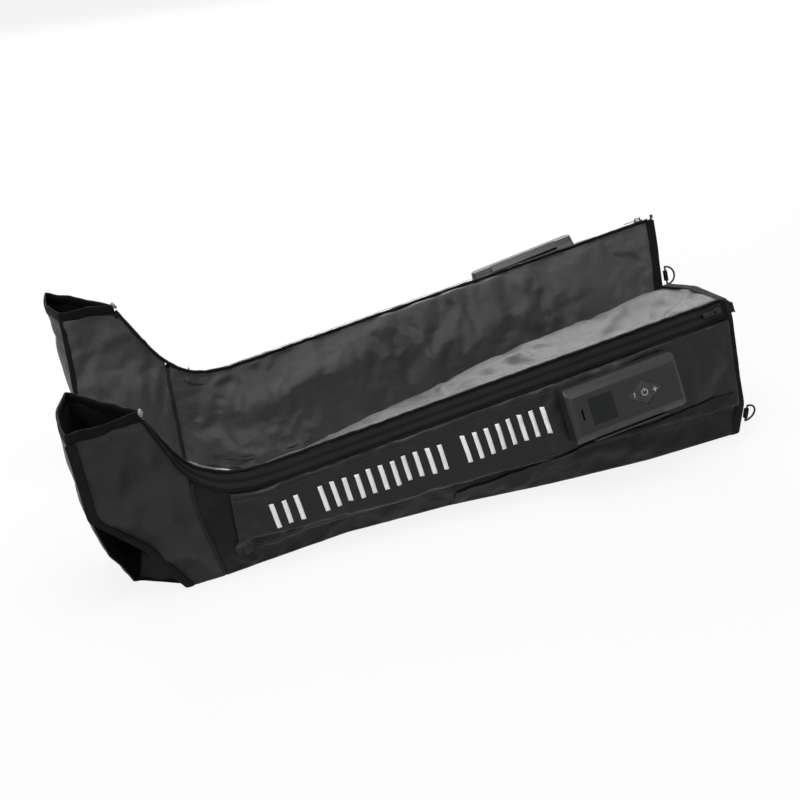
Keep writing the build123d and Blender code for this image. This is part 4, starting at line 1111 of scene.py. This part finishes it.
grey_tape = Finish("grey_tape", (0.16, 0.16, 0.16), 0.6)
weave(grey_tape, 0.0009, 0.0, 0.0003)
for side, boot in boots.items():
    cuts = leg_cuts[side]
    rim = loop_of([cuts[node][-1] for node in LEG_PANELS])
    pasts = [boot.along.copy() for _ in rim]
    rim = rim if side == "left" else rim[::-1]
    edge_tape(f"{side}_thigh_tape", rim, pasts, folded(FOLD_OVER, FOLD_REACH, FOLD_THICK),
              boot, f"{side}_thigh_binding")
    feet = foot_cuts[side]
    mouth = loop_of([feet["outer_foot_panel"][-1], feet["inner_foot_panel"][-1][::-1],
                     feet["sole_panel"][-1][::-1]])
    mouth = mouth[::-1] if side == "left" else mouth
    edge_tape(f"{side}_toe_tape", mouth, [Vector((0, 0, 1)) for _ in mouth],
              folded(FOLD_OVER, FOLD_REACH, FOLD_THICK), boot, f"{side}_toe_binding", wave=0.0018)
    # the tape ends of the zip: a short stub curled over at the thigh, a tab at the toe mouth
    middle, across, outs, _, _ = zip_paths[side]
    rows = []
    for i in range(9):
        curl = i / 8
        rows.append([middle[0] + across[0] * (w * 0.011 * (1 - 0.25 * curl)
                                              + 0.002 * math.sin(5 * curl + w))
                     + boot.along * (0.006 + 0.013 * curl - 0.006 * curl ** 3)
                     + outs[0] * (0.001 + 0.008 * curl ** 2
                                  + 0.0022 * noise.noise(Vector((i * 0.5, w * 1.7, 1))))
                     for w in (-1, -0.6, -0.2, 0.2, 0.6, 1)])
    stub = cloth_from_rows(f"{side}_zip_tape_stub", rows)
    modified(stub, "SOLIDIFY", "thickness", thickness=TAPE_THICK, offset=0.0)
    modified(stub, "SUBSURF", "rounder", levels=1, render_levels=1)
    dress(stub, tape_cloth, boot.body)
    form = bmesh.new()
    block(form, turned(middle[-1] + Vector((0, 0, TAB_RISE)), across[-1], outs[-1],
                       across[-1].cross(outs[-1])), TAB_SIZE)
    tab = made(f"{side}_zip_toe_tab", form)
    modified(tab, "BEVEL", "soft_edge", width=0.0018, segments=3)
    dress(tab, grey_tape, boot.body)
    for name, corner, over_cloth in (
            ("heel_tape", feet["outer_foot_panel"], 0.0105),
            ("inner_heel_tape", feet["inner_foot_panel"][::-1], 0.005)):
        edge_tape(f"{side}_{name}", [row[0] for row in corner],
                  [(row[0] - row[1]).normalized() for row in corner],
                  folded(over_cloth, 0.0028, 0.0018), boot, endless=False)


# ---- Heel corner ---------------------------------------------------------------------------
# Inside the open heel corner a floor of the same cloth closes the sleeve, and a loose
# triangular flap of woven cloth stands up from it.
HEEL_MIDDLE, HEEL_CORNER, FLAP_HEIGHT = (0.013, -0.012), (0.072, -0.053), 0.036
FLOOR_FROM_SOLE, FLOOR_INNER = 0.0008, 0.0555
FLOOR_OUTER = [(-0.1, HEEL_MIDDLE[1]), HEEL_MIDDLE, HEEL_CORNER, (0.2, -0.054)]
FLOOR_LAP, FLOOR_HEIGHT, FLOOR_RUMPLE = 0.006, 0.0016, 0.0022
FLOOR_ROWS, FLOOR_COLUMNS = 13, 14
FLAP_COLUMNS, FLAP_ROWS = 14, 6
for side, boot in boots.items():
    sole_foot = foot_cuts[side]["sole_panel"][0]
    outer_start, inner_start = boot.x_of(sole_foot[0]), boot.x_of(sole_foot[-1])
    rows = []
    for i in range(FLOOR_ROWS + 1):
        row = []
        for j in range(FLOOR_COLUMNS + 1):
            start = outer_start + (inner_start - outer_start) * j / FLOOR_COLUMNS + FLOOR_FROM_SOLE
            x = start + (SEAM_X + FLOOR_LAP - start) * i / FLOOR_ROWS
            outer = read(FLOOR_OUTER, x)
            rise = FLOOR_RUMPLE * abs(noise.noise(Vector((x * 40, j * 0.4, 3))))
            row.append(boot.point(x, outer + (FLOOR_INNER - outer) * j / FLOOR_COLUMNS,
                                  FLOOR_HEIGHT + rise))
        rows.append(row)
    ground = cloth_from_rows(f"{side}_heel_floor", rows)
    outwards(ground, lambda p: p - Vector((0, 0, 1)))
    finish_cloth(ground, lining_mesh, boot.body, f"{side}_heel_flap",
                 thick=0.001)
    rows = []
    for i in range(FLAP_COLUMNS + 1):
        share = i / FLAP_COLUMNS
        foot_x = HEEL_MIDDLE[0] + (HEEL_CORNER[0] - HEEL_MIDDLE[0]) * share
        foot_y = HEEL_MIDDLE[1] + (HEEL_CORNER[1] - HEEL_MIDDLE[1]) * share
        tall = max(0.002, FLAP_HEIGHT * (1 - share) ** 0.8)
        rows.append([boot.point(foot_x + 0.010 * (j / FLAP_ROWS),
                                foot_y + 0.004 + 0.006 * (j / FLAP_ROWS) ** 2
                                + 0.0016 * math.sin(i * 0.8), 0.0040 + tall * j / FLAP_ROWS)
                     for j in range(FLAP_ROWS + 1)])
    flap = cloth_from_rows(f"{side}_heel_flap_cloth", rows)
    modified(flap, "SOLIDIFY", "thickness", thickness=TAPE_THICK, offset=0.0)
    dress(flap, coarse_weave, boot.body, f"{side}_heel_flap")


# ---- Seams -------------------------------------------------------------------------------
# Lock-stitched seams: foot to leg, the smooth panel's two edges, and the topstitching along
# the zip.
def over(boot, rows, column, height):
    """A line along one column of a panel's rows, lifted off the cloth."""
    line, outs = [], []
    for row in rows:
        k = column if column >= 0 else len(row) + column
        other = row[k + 1] if k + 1 < len(row) else row[k - 1]
        flip = 1 if k + 1 < len(row) else -1
        out = ((other - row[k]) * flip).cross(boot.along).normalized()
        if out.dot(row[k] - boot.core()(row[k])) < 0:
            out = -out
        line.append(row[k] + out * height)
        outs.append(out)
    return line, outs


def stitches(name, path, outs, boot):
    """A row of machine stitches along a path, each a short thread standing a little proud."""
    count = round(length_of(path) / STITCH_PITCH)
    line = evenly(path, count)
    form = bmesh.new()
    for i in range(count):
        run = (line[i + 1] - line[i]).normalized()
        out = outs[min(len(outs) - 1, i * len(outs) // count)]
        side_way = out.cross(run).normalized()
        block(form, turned(line[i].lerp(line[i + 1], 0.5) + out * STITCH_SIZE[2] * 0.3,
                           run, side_way, run.cross(side_way)), STITCH_SIZE)
    dress(made(name, form), thread, boot.body, smooth=False)


STITCH_PITCH, STITCH_SIZE = 0.0042, (0.0026, 0.0007, 0.0005)
thread = Finish("black_thread", (0.014, 0.014, 0.0145), 0.5)
thread.worn(400.0, 0.4, 0.6)
for side, boot in boots.items():
    cuts = leg_cuts[side]
    for name, rows, column, height in (
            ("low_hem", hose_cuts[side], 1, 0.0010),
            ("low_hem_second", hose_cuts[side], 2, 0.0006),
            ("zip_hem", hose_cuts[side], -2, 0.0008),
            ("zip_hem_second", hose_cuts[side], -4, 0.0006),
            ("crown_hem", cuts["inner_leg_panel"], 1, 0.0008),
            ("floor_hem", cuts["outer_leg_panel"], 1, 0.0004)):
        line, outs = over(boot, rows, column, height)
        stitches(f"{side}_{name}", line, outs, boot)

WELT_RADIUS, WELT_POINTS = 0.0026, 40
for side, boot in boots.items():
    cuts = leg_cuts[side]
    for name, path in (("outer_seam", cuts["outer_leg_panel"][0]),
                       ("inner_seam", cuts["inner_leg_panel"][0])):
        line = evenly(path, WELT_POINTS)[1:-1]
        outs = [out_at(boot, line, k) for k in range(len(line))]
        line = [p - boot.along * EDGE for p in line]
        welt = band(f"{side}_{name}_welt", line, outs, round_outline(WELT_RADIUS, 6, 0.6))
        dress(welt, tape_cloth, boot.body)


# ---- Rings and their tabs -------------------------------------------------------------------
# Bent-wire D rings in dark plated steel hang in loops of webbing at the thigh rim.
EDGE_ANGLE = math.radians(32)  # an edge that turns more than this is broken


def trimmed_copy(name, node, width):
    """A copy of a solid with its points merged and its sharp edges broken."""
    form = opened(frame["nodes"][node].data)
    bmesh.ops.remove_doubles(form, verts=form.verts, dist=2e-6)
    bmesh.ops.dissolve_limit(form, angle_limit=math.radians(0.4), verts=form.verts,
                             edges=form.edges, delimit={"NORMAL"})
    bmesh.ops.triangulate(form, faces=[f for f in form.faces if len(f.verts) > 4])
    piece = made(name, form)
    piece.data.shade_smooth()
    if width:
        modified(piece, "BEVEL", "broken_edges", width=width, segments=2, limit_method="ANGLE",
                 angle_limit=EDGE_ANGLE, harden_normals=True)
    else:
        piece.data.set_sharp_from_angle(angle=EDGE_ANGLE)
    return piece


dark_metal = Finish("dark_metal", (0.030, 0.030, 0.032), 0.3, Metallic=1.0)
dark_metal.worn(140.0, 0.2, 0.42, 4.0)
dark_metal.colour(dark_metal.noise(dark_metal.place, 60.0), (0.022, 0.022, 0.024),
                  (0.040, 0.040, 0.043))
for side, boot in boots.items():
    for node, body in (("outer_ring", "outer_ring"), ("inner_ring", "inner_ring"),
                       ("zipper_slider", "zipper_slider"), ("zipper_pull", "zipper_pull")):
        width = 0.0004 if "zipper" in node else 0.0
        piece = trimmed_copy(f"{side}_{node}_metal", f"{side}_{node}", width)
        dress(piece, dark_metal, f"{side}_{body}", f"{side}_{node}", smooth=False)
    tabs = trimmed_copy(f"{side}_ring_webbing", f"{side}_ring_tabs", 0.0005)
    dress(tabs, binding_tape, boot.body, f"{side}_ring_tabs", smooth=False)


# ---- Air chambers --------------------------------------------------------------------------
# Four welded air chambers line the leg as a sleeve.  Flat welds part them, so that each stands
# proud between its two welds.
CHAMBER_FROM, CHAMBER_TO, CHAMBERS = 0.107, 0.850, 4
CHAMBER_GAP, CHAMBER_PUFF, FILM_THICK = 0.0125, 0.0040, 0.0012
film = Finish("chamber_film", (0.012, 0.012, 0.0125), 0.42, Specular_IOR_Level=0.35)
film.bump(film.noise(film.place, 45.0, 3.0), 0.0016)
film.worn(20.0, 0.36, 0.5)
for side, boot in boots.items():
    cuts = leg_cuts[side]
    rows = []
    for i in range(len(cuts["calf_panel"])):
        x = SEAM_X + (RIM_X - SEAM_X) * i / (len(cuts["calf_panel"]) - 1)
        if not CHAMBER_FROM <= x <= CHAMBER_TO:
            continue
        share = (x - CHAMBER_FROM) / (CHAMBER_TO - CHAMBER_FROM) * CHAMBERS % 1.0
        depth = CHAMBER_GAP + CHAMBER_PUFF * math.sin(math.pi * share) ** 0.5
        loop = loop_of([cuts[node][i] for node in LEG_PANELS])
        ring = evenly([*loop, loop[0]], 90)[:-1]
        inset = []
        for k, point in enumerate(ring):
            run = ring[(k + 1) % len(ring)] - ring[k - 1]
            inward = run.cross(boot.along).normalized()
            if inward.dot(boot.core(0.07)(point) - point) < 0:
                inward = -inward
            inset.append(point + inward * depth)
        rows.append(inset)
    sleeve = lay_strip(f"{side}_chamber_sleeve", [[*r, r[0]] for r in rows])
    outwards(sleeve, boot.core(0.07))
    sleeve.data.flip_normals()
    modified(sleeve, "SOLIDIFY", "thickness", thickness=FILM_THICK, offset=-1.0)
    dress(sleeve, film, boot.body, f"{side}_air_chambers")


# ---- Pump --------------------------------------------------------------------------------
# Each pump is a two-part plastic case: a satin grey front shell with broad bevelled edges over
# a black rear shell, with a smoked display window, a lamp slot and three key caps.
grey_plastic = Finish("grey_plastic", (0.016, 0.016, 0.0168), 0.36, Specular_IOR_Level=0.26)
grey_plastic.grained(900.0, 0.00008)
grey_plastic.worn(60.0, 0.36, 0.5)
black_plastic = Finish("black_plastic", (0.008, 0.008, 0.0085), 0.45)
black_plastic.grained(800.0, 0.0001)
black_plastic.worn(50.0, 0.4, 0.55)
smoked = Finish("smoked_window", (0.0035, 0.0048, 0.0043), 0.3, Specular_IOR_Level=0.2)
smoked.worn(35.0, 0.08, 0.2)
key_plastic = Finish("key_plastic", (0.012, 0.010, 0.009), 0.4)
key_plastic.grained(900.0, 0.00008)
key_plastic.worn(70.0, 0.33, 0.46)
silver_print = Finish("silver_print", (0.45, 0.45, 0.45), 0.35, Metallic=0.3)
silver_print.worn(500.0, 0.3, 0.45)


class Seat:
    """Where a pump sits: its key centre, x towards the thigh, y across, z out of its face."""

    def __init__(self, side):
        presses = {j["name"]: j for j in frame["joints"]}
        self.out = -Vector(presses[f"{side}_power_press"]["axis"]).normalized()
        middles = [sum(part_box(f"{side}_{key}_button"), Vector()) / 2 for key in ("minus", "plus")]
        self.x = (middles[1] - middles[0]).normalized()
        self.y = self.out.cross(self.x).normalized()
        top = max((v.co for v in frame["nodes"][f"{side}_power_button"].data.vertices),
                  key=lambda p: p.dot(self.out))
        centre = (middles[0] + middles[1]) / 2
        self.keys = centre + self.out * (top - centre).dot(self.out)
        self.pitch = (middles[1] - middles[0]).length

    def print_at(self, x, y):
        place = self.keys + self.x * x + self.y * y + self.out * (PRINT_THICK / 2)
        return turned(place, self.x, self.y, self.out)


PRINT_THICK, BAR, MARK_LENGTH = 0.00025, 0.00096, 0.0068
MARK_SHARE = 0.80              # of the way from the keys' centre to the middle of a rocker key
ARC_PARTS, ARC_FROM, ARC_TURN, ARC_RADIUS = 13, 125, 290, 0.0042
for side, boot in boots.items():
    seat = Seat(side)
    for node, finish, width, slot in (
            ("front_shell", grey_plastic, 0.0009, "grey_plastic"),
            ("rear_shell", black_plastic, 0.0006, "black_plastic"),
            ("pump_dock", black_plastic, 0.0004, "black_plastic"),
            ("display_window", smoked, 0.0002, "display_pane")):
        piece = trimmed_copy(f"{side}_{node}_case", f"{side}_{node}", width)
        dress(piece, finish, boot.body, f"{side}_{node}", smooth=False)
    for key in ("minus", "power", "plus"):
        piece = trimmed_copy(f"{side}_{key}_cap", f"{side}_{key}_button", 0.0003)
        dress(piece, key_plastic, f"{side}_{key}_button",
              f"{side}_{key}_button", smooth=False)
        form = bmesh.new()
        if key == "power":
            for k in range(ARC_PARTS + 1):
                turn = math.radians(ARC_FROM + ARC_TURN * k / ARC_PARTS)
                block(form, seat.print_at(0, 0) @ Matrix.Rotation(turn, 4, "Z")
                      @ Matrix.Translation((ARC_RADIUS, 0, 0)), (BAR, 0.0021, PRINT_THICK))
            block(form, seat.print_at(0, 0.0036), (BAR, 0.0042, PRINT_THICK))
        else:
            away = seat.pitch / 2 * MARK_SHARE * (1 if key == "plus" else -1)
            block(form, seat.print_at(away, 0), (BAR, MARK_LENGTH, PRINT_THICK))
            if key == "plus":
                block(form, seat.print_at(away, 0), (MARK_LENGTH, BAR, PRINT_THICK))
        dress(made(f"{side}_{key}_mark", form), silver_print, f"{side}_{key}_button",
              smooth=False)


# ---- Inside the pump -------------------------------------------------------------------------
# The board, two cells in their wrap, the motor with its pump head and valves, the eccentric on
# the shaft, the screws and the air hoses keep their plain solids.
board_green = Finish("board_green", (0.004, 0.010, 0.006), 0.4)
tracks = board_green.noise(board_green.place, 220.0, 1.0)
board_green.colour(tracks.maths("GREATER_THAN", 0.55), (0.003, 0.008, 0.005), (0.008, 0.022, 0.012))
cell_wrap = Finish("cell_wrap", (0.020, 0.060, 0.150), 0.35)
cell_wrap.grained(90.0, 0.0005)
pump_block = Finish("pump_block", (0.55, 0.55, 0.52), 0.45)
pump_block.worn(90.0, 0.35, 0.55)
steel = Finish("steel", (0.45, 0.45, 0.46), 0.25, Metallic=1.0)
steel.worn(200.0, 0.18, 0.35)
hose_black = Finish("hose_black", (0.012, 0.012, 0.0122), 0.5, Specular_IOR_Level=0.2)
hose_black.worn(120.0, 0.45, 0.6)
INSIDE = {"circuit_board": board_green, "battery_pack": cell_wrap, "air_pump": pump_block,
          "drive_eccentric": steel, "shell_screws": steel, "air_hoses": hose_black}
for side in SIDES:
    for node, finish in INSIDE.items():
        solid = frame["nodes"][f"{side}_{node}"]
        solid.data.materials.clear()
        solid.data.materials.append(finish.material)


# ---- Printed bars --------------------------------------------------------------------------
# Plain white bars in three groups are screen-printed along the smooth side panel.
GROUPS = [3, 11, 8]
PRINT_FROM, PRINT_TO = (0.200, 0.062), (0.592, 0.097)        # x and z of the foot of the print
BAR_TALL, BAR_WIDE, BAR_CELLS = 0.038, 0.0064, 14
GROUP_GAP = 1.0                                              # in bars
PRINT_LIFT, INK_THICK, BAR_LEAN = 0.0011, 0.0004, 0.006
print_white = Finish("print_white", (0.80, 0.80, 0.80), 0.6)
print_white.grained(400.0, 0.0001)
print_white.worn(200.0, 0.5, 0.7)
slots_in_all = sum(GROUPS) + GROUP_GAP * (len(GROUPS) - 1)
for side, boot in boots.items():
    form = bmesh.new()
    at = 0.0
    for group in GROUPS:
        for _ in range(group):
            share = at / (slots_in_all - 1)
            x = PRINT_FROM[0] + (PRINT_TO[0] - PRINT_FROM[0]) * share
            foot = PRINT_FROM[1] + (PRINT_TO[1] - PRINT_FROM[1]) * share
            cells = bmesh.ops.create_grid(form, x_segments=2, y_segments=BAR_CELLS,
                                          size=0.5)["verts"]
            for vert in cells:
                across, up = vert.co.x, vert.co.y + 0.5
                vert.co = laid(boot, outer_trees[side], x + BAR_WIDE * across - BAR_LEAN * up,
                               foot + BAR_TALL * up, PRINT_LIFT)
            at += 1.0
        at += GROUP_GAP
    printed = made(f"{side}_printed_bars", form)
    outwards(printed, boot.core())
    modified(printed, "SOLIDIFY", "ink", thickness=INK_THICK, offset=1.0)
    dress(printed, print_white, boot.body)
